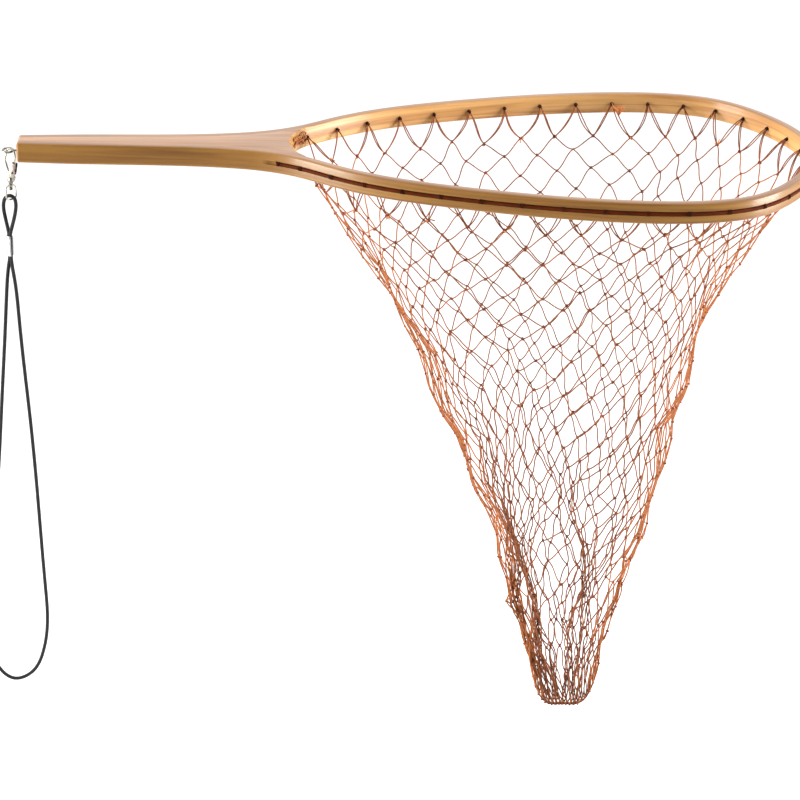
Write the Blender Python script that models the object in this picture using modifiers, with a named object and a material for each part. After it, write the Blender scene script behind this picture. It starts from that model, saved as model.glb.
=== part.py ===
"""Landing net: a bent wood hoop glued to a handle core, a laced net bag, a screw eye, a swivel snap and a lanyard.

Metres, +Z up. +X runs from the butt of the handle to the tip of the hoop and +Y to the hoop's left. The origin is
on the flat underside of the handle, in the middle of the grip. The sizes below are measured along the net from the
butt and in height from the middle of the wood's thickness; place() moves them into that frame.
"""
import math

import bmesh
import bpy
import numpy as np
from mathutils import Matrix, Vector

GAP = 0.0003

# Wood
WOOD_THICKNESS = 0.015
GRIP_FROM_BUTT = 0.070
BLANK_OVERHANG = 0.004
OUTLINE = (
    (-BLANK_OVERHANG, 0.0098),
    (0.040, 0.0127),
    (0.080, 0.0140),
    (0.120, 0.0156),
    (0.150, 0.0190),
    (0.175, 0.0250),
    (0.200, 0.0378),
    (0.225, 0.0585),
    (0.260, 0.0818),
    (0.310, 0.1025),
    (0.370, 0.1200),
    (0.430, 0.1298),
    (0.480, 0.1290),
    (0.515, 0.1170),
    (0.545, 0.0865),
    (0.565, 0.0490),
)
HOOP_TIP = 0.575
BOW_WIDTH = 0.007
HANDLE_STATIONS = 11
HOOP_STATIONS = 109
EDGE_RADIUS = 0.0018
INNER_EDGE_RADIUS = 0.0014
SQUARE_EDGE_RADIUS = 0.00005
CORNER_STEPS = 3
THROAT_BOTTOM = 0.1945
THROAT_CORNER = 0.206
THROAT_STEPS = 14
BUTT_ROUNDING = 0.0032
BUTT_HALF_WIDTH = 0.01075
BUTT_HALF_HEIGHT = 0.0077
PILOT_RADIUS = 0.0011
PILOT_DEPTH = 0.017

# Lacing: a groove in the hoop's outer face, a cord in it and a hole through the hoop at each mesh loop
GROOVE_RADIUS = 0.0019
GROOVE_START = 0.178
LACING_RADIUS = 0.00115
LACING_INSET = 0.0004
HOLE_RADIUS = 0.0012
HOLE_PITCH = 0.0286
HOLES_PER_SIDE = 17
HOLE_SIDES = 8

# Net bag: depth below the hoop's middle, nearest and furthest reach along the net, half width across it
BAG = (
    (0.000, 0.2075, 0.5660, 0.1210),
    (0.026, 0.2170, 0.5490, 0.1130),
    (0.050, 0.2350, 0.5350, 0.1030),
    (0.085, 0.2550, 0.5180, 0.0920),
    (0.125, 0.2780, 0.5030, 0.0820),
    (0.170, 0.2980, 0.4910, 0.0710),
    (0.215, 0.3140, 0.4820, 0.0620),
    (0.260, 0.3350, 0.4770, 0.0530),
    (0.307, 0.3520, 0.4630, 0.0440),
    (0.350, 0.3660, 0.4510, 0.0350),
    (0.390, 0.3800, 0.4380, 0.0280),
    (0.430, 0.3850, 0.4350, 0.0245),
    (0.449, 0.3930, 0.4290, 0.0180),
    (0.4555, 0.4030, 0.4200, 0.0085),
)
BAG_SIDES = 40
BAG_THICKNESS = 0.0012
BAG_CLEARANCE = 0.0007
BAG_ROUND_DEPTH = 0.150

# Screw eye, in the butt
RING_CENTRE = 0.0068
RING_DROP = 0.0012
RING_RADIUS = 0.00365
RING_TILT = math.radians(8)
RING_POINTS = 28
EYE_WIRE_RADIUS = 0.00085
SHANK_RADIUS = 0.0008
SHANK_END = 0.012

# Swivel snap: it hangs in an upright plane through the swivel's axis, turned about that axis. Its sizes are given
# in that plane as (reach from the axis, height); the snap swings about the ring's wire where that crosses the plane
SWIVEL_AXIS = (-0.0056, -0.0016)
SNAP_TURN = math.radians(-26.6)
SWING_POINT = (0.00173, -0.00153)
HOOK_WIRE_RADIUS = 0.0007
HOOK_POINTS = 36
CROWN_CENTRE = (0.0009, -0.00284)
CROWN_RADIUS = 0.0034
HOOK_SHAFT = (
    (-0.0036, -0.0060),
    (-0.0038, -0.0085),
    (-0.0032, -0.0112),
    (-0.0021, -0.0148),
    (-0.0010, -0.0185),
    (-0.0003, -0.0215),
)
NOSE_END = -0.0106
PLATE_OUTLINE = (
    (0.0024, -0.0156),
    (0.0034, -0.0159),
    (0.0038, -0.0170),
    (0.0035, -0.0183),
    (0.0038, -0.0200),
    (0.0034, -0.0224),
    (0.0020, -0.0244),
    (0.0000, -0.0250),
    (-0.0020, -0.0243),
    (-0.0034, -0.0218),
    (-0.0040, -0.0188),
    (-0.0037, -0.0168),
    (-0.0025, -0.0160),
    (-0.0010, -0.0163),
    (0.0004, -0.0163),
    (0.0014, -0.0158),
)
PLATE_POINTS = 48
PLATE_HALF_THICKNESS = 0.0006
PLATE_EDGE = 0.0002
BOSS_RADIUS = 0.00155
BOSS_TOP = -0.0212
BOSS_BOTTOM = -0.0262
POST_RADIUS = 0.00075
POST_BORE_RADIUS = 0.00105
POST_TOP = -0.0231
POST_HEAD_RADIUS = 0.0013
POST_HEAD_TOP = -0.0284
POST_HEAD_BOTTOM = -0.0308

# Gate: a folded channel on a pin through the snap's plate, leaning towards the nose it closes on
GATE_PIVOT = (0.0024, -0.0170)
GATE_LEAN = math.radians(11)
GATE_TOP = 0.0072
GATE_FOOT = -0.0016
GATE_BACK = -0.0018
GATE_FRONT = 0.0017
GATE_HALF_WIDTH = 0.00215
GATE_WALL = 0.00045
GATE_BACK_FOOT = 0.0026
PIN_RADIUS = 0.0004
PIN_HOLE_RADIUS = 0.0007
PIN_HEAD_RADIUS = 0.0010
PIN_HEAD_THICKNESS = 0.0004
SPRING_WIRE_RADIUS = 0.00018
SPRING_COIL_RADIUS = 0.0010
SPRING_PLANE = 0.0012

# Swivel eye: a rounded wire link whose top wire carries a collar round the post
LINK_TURN = math.radians(40)
LINK_HALF_WIDTH = 0.0043
LINK_TOP = -0.0273
LINK_BOTTOM = -0.0377
LINK_CORNER = 0.0027
LINK_CORNER_STEPS = 5
LINK_WIRE_RADIUS = 0.0006
COLLAR_RADIUS = 0.0017
COLLAR_HALF_HEIGHT = 0.0007

# Lanyard: one elastic cord, both its ends in the crimp, a small loop above the crimp and the wrist loop below it
CORD_RADIUS = 0.00135
CRIMP_TOP = -0.0655
CRIMP_BOTTOM = -0.0805
CRIMP_WALL = 0.00045
CRIMP_CLEARANCE = 0.00025
CRIMP_SEAM_START = math.radians(18)
CRIMP_SEAM_END = math.radians(280)
NEAR_STRAND = (-0.0074, -0.00295)
FAR_STRAND = (-0.0086, -0.00020)
CORD_ROUTE = (
    (*FAR_STRAND, -0.0735),
    (*FAR_STRAND, -0.0775),
    (*FAR_STRAND, -0.0815),
    (-0.0096, -0.0006, -0.0885),
    (-0.0118, -0.0012, -0.1080),
    (-0.0144, -0.0016, -0.1417),
    (-0.0179, -0.0016, -0.1833),
    (-0.0221, -0.0016, -0.2339),
    (-0.0275, -0.0016, -0.2900),
    (-0.0333, -0.0016, -0.3400),
    (-0.0375, -0.0016, -0.3780),
    (-0.0368, -0.0016, -0.4030),
    (-0.0306, -0.0016, -0.4215),
    (-0.0188, -0.0016, -0.4315),
    (-0.0062, -0.0016, -0.4270),
    (0.0040, -0.0016, -0.4090),
    (0.0084, -0.0016, -0.3830),
    (0.0080, -0.0016, -0.3520),
    (0.0065, -0.0016, -0.3180),
    (0.0044, -0.0016, -0.2653),
    (0.0010, -0.0016, -0.2027),
    (-0.0013, -0.0016, -0.1695),
    (-0.0037, -0.0018, -0.1281),
    (-0.0054, -0.0023, -0.1014),
    (-0.0069, -0.0028, -0.0885),
    (*NEAR_STRAND, -0.0815),
    (*NEAR_STRAND, -0.0770),
    (*NEAR_STRAND, -0.0700),
    (*NEAR_STRAND, -0.0650),
    (-0.0063, -0.0030, -0.0600),
    (-0.0043, -0.0030, -0.0528),
    (-0.0027, -0.0030, -0.0452),
    (-0.0025, -0.0029, -0.0395),
    (-0.0037, -0.0026, -0.0362),
    (-0.0065, -0.0016, -0.0350),
    (-0.0095, -0.0006, -0.0364),
    (-0.0113, -0.0001, -0.0400),
    (-0.0117, 0.0000, -0.0450),
    (-0.0107, -0.0001, -0.0525),
    (-0.0093, -0.0001, -0.0602),
    (*FAR_STRAND, -0.0650),
    (*FAR_STRAND, -0.0690),
    (*FAR_STRAND, -0.0727),
)
SMALL_LOOP_FOOT = -0.0528
SMALL_LOOP_STEP = 0.0027
CRIMP_LEGS_FOOT = -0.0980
CRIMP_LEGS_STEP = 0.0050
WRIST_LOOP_STEP = 0.0165


def clear_scene():
    for item in list(bpy.data.objects):
        bpy.data.objects.remove(item, do_unlink=True)


def make_collection(name):
    collection = bpy.data.collections.new(name)
    bpy.context.scene.collection.children.link(collection)
    return collection


def make_material(name, colour, roughness, metallic=0.0):
    material = bpy.data.materials.new(name)
    material.use_nodes = True
    shader = material.node_tree.nodes["Principled BSDF"]
    shader.inputs["Base Color"].default_value = (*colour, 1.0)
    shader.inputs["Roughness"].default_value = roughness
    shader.inputs["Metallic"].default_value = metallic
    material.diffuse_color = (*colour, 1.0)
    return material


def place(x, y, z):
    """A point given from the butt and from the middle of the wood, in the frame of the whole net."""
    return Vector((x - GRIP_FROM_BUTT, y, z + WOOD_THICKNESS / 2))


def smooth_curve(points, count):
    """Points spread evenly along the natural cubic spline through the given points."""
    knots = np.array(points, dtype=float)
    step = np.linalg.norm(np.diff(knots, axis=0), axis=1)
    chord = np.concatenate(([0.0], np.cumsum(step)))
    last = len(knots) - 1
    system = np.eye(last + 1)
    load = np.zeros_like(knots)
    for i in range(1, last):
        system[i, i - 1:i + 2] = step[i - 1], 2 * (step[i - 1] + step[i]), step[i]
        load[i] = 6 * ((knots[i + 1] - knots[i]) / step[i] - (knots[i] - knots[i - 1]) / step[i - 1])
    bend = np.linalg.solve(system, load)

    def at(distance):
        i = np.clip(np.searchsorted(chord, distance, side="right") - 1, 0, last - 1)
        width = step[i][:, None]
        before = (chord[i + 1] - distance)[:, None] / width
        after = 1 - before
        cubic = (before ** 3 - before) * bend[i] + (after ** 3 - after) * bend[i + 1]
        return before * knots[i] + after * knots[i + 1] + cubic * width ** 2 / 6

    fine = np.linspace(0.0, chord[-1], 60 * last + 1)
    run = np.linalg.norm(np.diff(at(fine), axis=0), axis=1)
    length = np.concatenate(([0.0], np.cumsum(run)))
    return at(np.interp(np.linspace(0.0, length[-1], count), length, fine))


class Rail:
    """The bow's outer face in plan: from the butt along the -Y side, round the tip and back along the +Y side."""

    def __init__(self):
        out = [(x, -half) for x, half in OUTLINE]
        back = [(x, half) for x, half in reversed(OUTLINE)]
        self.points = smooth_curve(out + [(HOOP_TIP, 0.0)] + back, 3001)
        run = np.linalg.norm(np.diff(self.points, axis=0), axis=1)
        self.distance = np.concatenate(([0.0], np.cumsum(run)))
        self.length = float(self.distance[-1])
        along = np.gradient(self.points, axis=0)
        along /= np.linalg.norm(along, axis=1)[:, None]
        self.inward = np.stack((-along[:, 1], along[:, 0]), axis=1)

    def at(self, distance, inset=0.0):
        """The plan point at a distance along the outer face, moved inward by the inset."""
        line = self.points + inset * self.inward
        return np.array([np.interp(distance, self.distance, line[:, k]) for k in range(2)])

    def reach(self, x, inset=0.0):
        """The first distance at which the inset line is as far from the butt as x."""
        line = self.points[:, 0] + inset * self.inward[:, 0]
        return float(self.distance[np.argmax(line >= x)])

    def stations(self):
        """Distances at which the bow has a cross-section: sparse in the straight handle, close in the hoop."""
        bend = self.reach(OUTLINE[3][0])
        leg = np.linspace(0.0, bend, HANDLE_STATIONS)
        hoop = np.linspace(bend, self.length - bend, HOOP_STATIONS)
        return list(leg[:-1]) + list(hoop) + list((self.length - leg[:-1])[::-1])


def link(name, data, material, collection, matrix=None):
    item = bpy.data.objects.new(name, data)
    if material is not None:
        item.data.materials.append(material)
    collection.objects.link(item)
    if matrix is not None:
        item.matrix_world = matrix
    return item


def smooth_shading(item, degrees=35):
    item.data.shade_smooth()
    item.data.set_sharp_from_angle(angle=math.radians(degrees))


def to_mesh(item):
    """Replaces a curve object with a closed mesh object of the same name, materials and place."""
    bpy.context.view_layer.update()
    depsgraph = bpy.context.evaluated_depsgraph_get()
    mesh = bpy.data.meshes.new_from_object(item.evaluated_get(depsgraph))
    shape = bmesh.new()
    shape.from_mesh(mesh)
    bmesh.ops.remove_doubles(shape, verts=shape.verts, dist=1e-6)
    bmesh.ops.recalc_face_normals(shape, faces=shape.faces)
    shape.to_mesh(mesh)
    shape.free()
    name = item.name
    matrix = item.matrix_world.copy()
    collection = item.users_collection[0]
    bpy.data.objects.remove(item, do_unlink=True)
    return link(name, mesh, None, collection, matrix)


def combine(item, other, operation):
    """Adds a Boolean modifier, with the other object as its cutter."""
    other.hide_render = True
    other.display_type = "WIRE"
    modifier = item.modifiers.new(f"{operation.lower()} {other.name}", "BOOLEAN")
    modifier.operation = operation
    modifier.solver = "EXACT"
    modifier.object = other


def tube(name, points, radius, material, collection, matrix=None, cyclic=False):
    """A round wire or cord along the points, with closed ends."""
    data = bpy.data.curves.new(name, "CURVE")
    data.dimensions = "3D"
    data.bevel_depth = radius
    data.bevel_resolution = 2
    data.use_fill_caps = True
    spline = data.splines.new("POLY")
    spline.points.add(len(points) - 1)
    for target, point in zip(spline.points, points):
        target.co = (*point, 1.0)
    spline.use_cyclic_u = cyclic
    return link(name, data, material, collection, matrix)


def flat_plate(name, outline, half_thickness, edge, material, collection, matrix=None):
    """A plate cut to a closed outline in its own XY plane, with its edges bevelled by the edge size."""
    data = bpy.data.curves.new(name, "CURVE")
    data.dimensions = "2D"
    data.fill_mode = "BOTH"
    data.extrude = half_thickness - edge
    data.bevel_depth = edge
    data.bevel_resolution = 1
    spline = data.splines.new("POLY")
    spline.points.add(len(outline) - 1)
    for target, point in zip(spline.points, outline):
        target.co = (point[0], point[1], 0.0, 1.0)
    spline.use_cyclic_u = True
    return to_mesh(link(name, data, material, collection, matrix))


def bmesh_object(name, shape, material, collection, matrix=None):
    mesh = bpy.data.meshes.new(name)
    shape.to_mesh(mesh)
    shape.free()
    return link(name, mesh, material, collection, matrix)


def add_cylinder(shape, radius, start, end, sides):
    """Adds to the bmesh a cylinder between the centres of its two end faces."""
    axis = Vector(end) - Vector(start)
    turn = Vector((0, 0, 1)).rotation_difference(axis).to_matrix().to_4x4()
    bmesh.ops.create_cone(
        shape, cap_ends=True, segments=sides, radius1=radius, radius2=radius, depth=axis.length,
        matrix=Matrix.Translation((Vector(start) + Vector(end)) / 2) @ turn,
    )


def cylinder(name, radius, start, end, sides, material, collection, matrix=None):
    shape = bmesh.new()
    add_cylinder(shape, radius, start, end, sides)
    return bmesh_object(name, shape, material, collection, matrix)


def block(name, low, high, collection, matrix=None):
    """A box between two opposite corners."""
    low = Vector(low)
    high = Vector(high)
    shape = bmesh.new()
    size = Matrix.Diagonal((*(high - low), 1.0))
    bmesh.ops.create_cube(shape, size=1.0, matrix=Matrix.Translation((low + high) / 2) @ size)
    return bmesh_object(name, shape, None, collection, matrix)


def turned(name, profile, sides, material, collection, matrix=None):
    """A solid turned about Z from (radius, height) pairs that run from its top down its outer side."""
    mesh = bpy.data.meshes.new(name)
    vertices = [(radius, 0.0, height) for radius, height in profile]
    mesh.from_pydata(vertices, [(i, i + 1) for i in range(len(profile) - 1)], [])
    item = link(name, mesh, material, collection, matrix)
    screw = item.modifiers.new("turn", "SCREW")
    screw.axis = "Z"
    screw.angle = 2 * math.pi
    screw.steps = sides
    screw.render_steps = sides
    screw.use_merge_vertices = True
    screw.merge_threshold = 0.00001
    screw.use_smooth_shade = True
    return item


def loft(name, rings, close_start, material, collection):
    """A skin over rings of equally many points, closed with a face at its end and, if asked, at its start."""
    shape = bmesh.new()
    rows = [[shape.verts.new(point) for point in ring] for ring in rings]
    count = len(rows[0])
    for near, far in zip(rows, rows[1:]):
        for i in range(count):
            j = (i + 1) % count
            shape.faces.new((near[i], near[j], far[j], far[i]))
    if close_start:
        shape.faces.new(rows[0][::-1])
    shape.faces.new(rows[-1])
    bmesh.ops.recalc_face_normals(shape, faces=shape.faces)
    return bmesh_object(name, shape, material, collection)


def joint_frame(name, matrix, parts, parent=None):
    """An empty on a joint's axis, which carries the pieces that turn about it."""
    empty = bpy.data.objects.new(name, None)
    empty.empty_display_size = 0.004
    parts.objects.link(empty)
    empty.matrix_world = matrix
    if parent is not None:
        hang(empty, parent)
    return empty


def hang(item, parent):
    """Makes the item follow its parent from where both now are."""
    bpy.context.view_layer.update()
    item.parent = parent
    item.matrix_parent_inverse = parent.matrix_world.inverted()


def bow_section(inner_radius):
    """The bow's cross-section as (inset, height) pairs: a rectangle with its four edges rounded."""
    half = WOOD_THICKNESS / 2
    corners = (
        (EDGE_RADIUS, EDGE_RADIUS - half, EDGE_RADIUS, math.pi),
        (BOW_WIDTH - inner_radius, inner_radius - half, inner_radius, 1.5 * math.pi),
        (BOW_WIDTH - inner_radius, half - inner_radius, inner_radius, 0.0),
        (EDGE_RADIUS, half - EDGE_RADIUS, EDGE_RADIUS, 0.5 * math.pi),
    )
    section = []
    for inset, height, radius, start in corners:
        for step in range(CORNER_STEPS + 1):
            angle = start + 0.5 * math.pi * step / CORNER_STEPS
            section.append((inset + radius * math.cos(angle), height + radius * math.sin(angle)))
    return section


def make_hoop_bow(rail, material, parts):
    """The bent strip: along one side of the handle, round the hoop and back along the other side."""
    rings = []
    for distance in rail.stations():
        into_hoop = (rail.at(distance)[0] - THROAT_BOTTOM) / (THROAT_CORNER - THROAT_BOTTOM)
        share = min(max(into_hoop, 0.0), 1.0)
        radius = (1 - share) * SQUARE_EDGE_RADIUS + share * INNER_EDGE_RADIUS
        ring = []
        for inset, height in bow_section(radius):
            x, y = rail.at(distance, inset)
            ring.append(place(x, y, height))
        rings.append(ring)
    return loft("hoop_bow", rings, True, material, parts)


def make_handle_core(rail, material, parts):
    """The block between the two legs of the bow, hollowed at the throat where the hoop opens."""
    inset = BOW_WIDTH + GAP
    end = rail.reach(THROAT_CORNER, inset)
    side = [rail.at(d, inset) for d in rail.stations() if d < end - 0.002] + [rail.at(end, inset)]
    corner_x, corner_y = side[-1]
    rise = corner_x - THROAT_BOTTOM
    radius = (corner_y ** 2 + rise ** 2) / (2 * rise)
    reach = math.asin(-corner_y / radius)
    throat = []
    for step in range(1, THROAT_STEPS):
        angle = reach * (2 * step / THROAT_STEPS - 1)
        throat.append((THROAT_BOTTOM + radius * (1 - math.cos(angle)), radius * math.sin(angle)))
    other = [(x, -y) for x, y in reversed(side)]
    outline = [(x - GRIP_FROM_BUTT, y) for x, y in side + throat + other]
    middle = Matrix.Translation((0, 0, WOOD_THICKNESS / 2))
    return flat_plate("handle_core", outline, WOOD_THICKNESS / 2, 0.0, material, parts, middle)


def make_butt_trim(cutters):
    """A cutter that squares the wood off at the butt and rounds the edges of its end face."""
    low = place(0.0, -BUTT_HALF_WIDTH, -BUTT_HALF_HEIGHT)
    bar = block("butt_bar", low, place(0.030, BUTT_HALF_WIDTH, BUTT_HALF_HEIGHT), cutters)
    shape = bmesh.new()
    shape.from_mesh(bar.data)
    end_edges = [e for e in shape.edges if all(v.co.x < low.x + 1e-6 for v in e.verts)]
    bmesh.ops.bevel(shape, geom=end_edges, offset=BUTT_ROUNDING, segments=5, profile=0.5, affect="EDGES")
    shape.to_mesh(bar.data)
    shape.free()
    trim = block("butt_trim", place(-0.012, -0.02, -0.014), place(0.0048, 0.02, 0.014), cutters)
    combine(trim, bar, "DIFFERENCE")
    return trim


def make_lacing(rail, material, parts, cutters):
    """The lacing cord, and the cutter of the groove it lies in."""
    start = rail.reach(GROOVE_START)
    end = rail.length - start
    run = [d for d in rail.stations() if start + 0.002 < d < end - 0.002]
    groove_line = [place(*rail.at(d), 0.0) for d in [start] + run + [end]]
    cord_line = [place(*rail.at(d, LACING_INSET), 0.0) for d in run]
    groove = to_mesh(tube("lacing_groove", groove_line, GROOVE_RADIUS, None, cutters))
    return tube("lacing_cord", cord_line, LACING_RADIUS, material, parts), groove


def make_lacing_holes(rail, cutters):
    """The cutter of the lacing holes: evenly spaced either side of the tip, square to the bow and through it."""
    shape = bmesh.new()
    first = rail.length / 2 - HOLE_PITCH * (HOLES_PER_SIDE - 0.5)
    for i in range(2 * HOLES_PER_SIDE):
        distance = first + HOLE_PITCH * i
        outside = place(*rail.at(distance, -0.002), 0.0)
        inside = place(*rail.at(distance, BOW_WIDTH + 0.002), 0.0)
        add_cylinder(shape, HOLE_RADIUS, outside, inside, HOLE_SIDES)
    return bmesh_object("lacing_holes", shape, None, cutters)


def make_net_bag(rail, material, parts):
    """The netting's outer shape: as wide as the hoop at the top, drawn in to a narrow closed sock."""
    inset = BOW_WIDTH + BAG_CLEARANCE
    start = rail.reach(BAG[0][1], inset)
    line = np.array([rail.at(d, inset) for d in np.linspace(start, rail.length - start, BAG_SIDES)])
    low = line.min(axis=0)
    high = line.max(axis=0)
    hoop_shape = (2 * line - low - high) / (high - low)
    around = np.arctan2(hoop_shape[:, 1], hoop_shape[:, 0])
    round_shape = np.stack((np.cos(around), np.sin(around)), axis=1)
    rings = []
    for depth, near, far, half in BAG:
        share = min(depth / BAG_ROUND_DEPTH, 1.0)
        plan = (1 - share) * hoop_shape + share * round_shape
        rings.append([place((near + far + (far - near) * x) / 2, half * y, -depth) for x, y in plan])
    bag = loft("net_bag", rings, False, material, parts)
    shell = bag.modifiers.new("netting thickness", "SOLIDIFY")
    shell.thickness = BAG_THICKNESS
    shell.offset = -1.0
    return bag


def make_screw_eye(material, parts, cutters):
    """The wire eye whose shank is screwed into the middle of the butt."""
    points = []
    for step in range(RING_POINTS):
        angle = 2 * math.pi * step / RING_POINTS
        points.append((RING_RADIUS * math.cos(angle), RING_RADIUS * math.sin(angle), 0.0))
    tilted = Matrix.Translation(place(-RING_CENTRE, 0.0, -RING_DROP)) @ Matrix.Rotation(RING_TILT, 4, "X")
    eye = to_mesh(tube("screw_eye", points, EYE_WIRE_RADIUS, material, parts, tilted, True))
    start = place(RING_RADIUS - RING_CENTRE, 0.0, -RING_DROP)
    end = place(SHANK_END, 0.0, -RING_DROP)
    combine(eye, cylinder("eye_shank", SHANK_RADIUS, start, end, 12, None, cutters), "UNION")
    return eye


def snap_plane():
    """The snap's own frame: X is reach from the swivel's axis, Y is height and Z is across the snap."""
    axis = Matrix.Translation(place(*SWIVEL_AXIS, 0.0))
    return axis @ Matrix.Rotation(SNAP_TURN, 4, "Z") @ Matrix.Rotation(math.radians(90), 4, "X")


def make_snap_body(plane, material, parts, cutters):
    """Hook wire, flat plate and swivel boss in one piece, with the post's bore and the pin's hole."""
    nose = CROWN_CENTRE[0] + CROWN_RADIUS
    route = [(nose, NOSE_END), (nose, (NOSE_END + CROWN_CENTRE[1]) / 2)]
    for step in range(7):
        angle = math.pi * step / 6
        reach = CROWN_CENTRE[0] + CROWN_RADIUS * math.cos(angle)
        route.append((reach, CROWN_CENTRE[1] + CROWN_RADIUS * math.sin(angle)))
    line = [(x, y, 0.0) for x, y in smooth_curve(route + list(HOOK_SHAFT), HOOK_POINTS)]
    hook = to_mesh(tube("hook_wire", line, HOOK_WIRE_RADIUS, None, cutters, plane))
    outline = smooth_curve(PLATE_OUTLINE + PLATE_OUTLINE[:1], PLATE_POINTS + 1)[:-1]
    body = flat_plate("snap_body", outline, PLATE_HALF_THICKNESS, PLATE_EDGE, material, parts, plane)
    boss_ends = (0.0, BOSS_TOP, 0.0), (0.0, BOSS_BOTTOM, 0.0)
    bore_ends = (0.0, POST_TOP + GAP, 0.0), (0.0, BOSS_BOTTOM - 0.001, 0.0)
    hole_ends = (*GATE_PIVOT, -0.003), (*GATE_PIVOT, 0.003)
    combine(body, hook, "UNION")
    combine(body, cylinder("swivel_boss", BOSS_RADIUS, *boss_ends, 20, None, cutters, plane), "UNION")
    combine(body, cylinder("post_bore", POST_BORE_RADIUS, *bore_ends, 20, None, cutters, plane), "DIFFERENCE")
    combine(body, cylinder("pin_hole", PIN_HOLE_RADIUS, *hole_ends, 16, None, cutters, plane), "DIFFERENCE")
    return body


def make_snap_gate(hinge, material, parts, cutters):
    """The folded channel, open towards the nose; below its back only the two cheeks go on, down past the pin."""
    corner = 0.0009
    outline = [(GATE_BACK, GATE_TOP), (GATE_BACK, 0.0), (GATE_BACK + corner, GATE_FOOT)]
    outline += [(GATE_FRONT - corner, GATE_FOOT), (GATE_FRONT, 0.0), (GATE_FRONT, GATE_TOP)]
    gate = flat_plate("snap_gate", outline, GATE_HALF_WIDTH, 0.00025, material, parts, hinge)
    inside = GATE_HALF_WIDTH - GATE_WALL
    channel_low = (GATE_BACK + GATE_WALL, GATE_BACK_FOOT - 0.001, -inside)
    foot_low = (GATE_BACK - 0.001, GATE_FOOT - 0.001, -inside)
    channel = block("gate_channel", channel_low, (GATE_FRONT + 0.001, GATE_TOP + 0.001, inside), cutters, hinge)
    foot = block("gate_fork", foot_low, (GATE_FRONT + 0.001, GATE_BACK_FOOT, inside), cutters, hinge)
    hole_ends = (0.0, 0.0, -0.003), (0.0, 0.0, 0.003)
    combine(gate, channel, "DIFFERENCE")
    combine(gate, foot, "DIFFERENCE")
    combine(gate, cylinder("gate_hole", PIN_HOLE_RADIUS, *hole_ends, 16, None, cutters, hinge), "DIFFERENCE")
    return gate


def make_gate_pin(hinge, material, parts):
    half = GATE_HALF_WIDTH + GAP
    head = half + PIN_HEAD_THICKNESS
    profile = (
        (0.0, head),
        (PIN_HEAD_RADIUS, head),
        (PIN_HEAD_RADIUS, half),
        (PIN_RADIUS, half),
        (PIN_RADIUS, -half),
        (PIN_HEAD_RADIUS, -half),
        (PIN_HEAD_RADIUS, -head),
        (0.0, -head),
    )
    return turned("gate_pin", profile, 16, material, parts, hinge)


def make_gate_spring(hinge, material, parts):
    """A hairpin of wire beside the plate: one leg up inside the gate, a turn under the pin, one short leg."""
    route = [(-SPRING_COIL_RADIUS, 0.0048, SPRING_PLANE), (-SPRING_COIL_RADIUS, 0.0012, SPRING_PLANE)]
    for step in range(9):
        angle = math.pi * (1 + step / 8)
        reach = SPRING_COIL_RADIUS * math.cos(angle)
        route.append((reach, SPRING_COIL_RADIUS * math.sin(angle), SPRING_PLANE))
    route.append((SPRING_COIL_RADIUS, 0.0016, SPRING_PLANE))
    return tube("gate_spring", route, SPRING_WIRE_RADIUS, material, parts, hinge)


def make_swivel_post(material, parts):
    """The stud that turns in the boss, with a rounded head below the swivel eye's collar."""
    height = POST_HEAD_TOP - POST_HEAD_BOTTOM
    rounding = 0.0006
    profile = (
        (0.0, POST_TOP),
        (POST_RADIUS, POST_TOP),
        (POST_RADIUS, POST_HEAD_TOP),
        (POST_HEAD_RADIUS - rounding, POST_HEAD_TOP),
        (POST_HEAD_RADIUS, POST_HEAD_TOP - rounding),
        (POST_HEAD_RADIUS, POST_HEAD_TOP - height + rounding),
        (POST_HEAD_RADIUS - rounding, POST_HEAD_BOTTOM),
        (0.0, POST_HEAD_BOTTOM),
    )
    return turned("swivel_post", profile, 20, material, parts, Matrix.Translation(place(*SWIVEL_AXIS, 0.0)))


def make_swivel_eye(material, parts, cutters):
    """The rounded wire link, with its collar round the post."""
    axis = Matrix.Translation(place(*SWIVEL_AXIS, 0.0)) @ Matrix.Rotation(LINK_TURN, 4, "Z")
    inner_width = LINK_HALF_WIDTH - LINK_CORNER
    corners = (
        (inner_width, LINK_TOP - LINK_CORNER, 0.0),
        (-inner_width, LINK_TOP - LINK_CORNER, 0.5 * math.pi),
        (-inner_width, LINK_BOTTOM + LINK_CORNER, math.pi),
        (inner_width, LINK_BOTTOM + LINK_CORNER, 1.5 * math.pi),
    )
    points = []
    for x, z, start in corners:
        for step in range(LINK_CORNER_STEPS + 1):
            angle = start + 0.5 * math.pi * step / LINK_CORNER_STEPS
            points.append((x + LINK_CORNER * math.cos(angle), 0.0, z + LINK_CORNER * math.sin(angle)))
    eye = to_mesh(tube("swivel_eye", points, LINK_WIRE_RADIUS, material, parts, axis, True))
    collar_ends = (0.0, 0.0, LINK_TOP - COLLAR_HALF_HEIGHT), (0.0, 0.0, LINK_TOP + COLLAR_HALF_HEIGHT)
    hole_ends = (0.0, 0.0, LINK_TOP - 0.002), (0.0, 0.0, LINK_TOP + 0.002)
    combine(eye, cylinder("collar", COLLAR_RADIUS, *collar_ends, 20, None, cutters, axis), "UNION")
    combine(eye, cylinder("collar_hole", POST_BORE_RADIUS, *hole_ends, 20, None, cutters, axis), "DIFFERENCE")
    return eye


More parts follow.
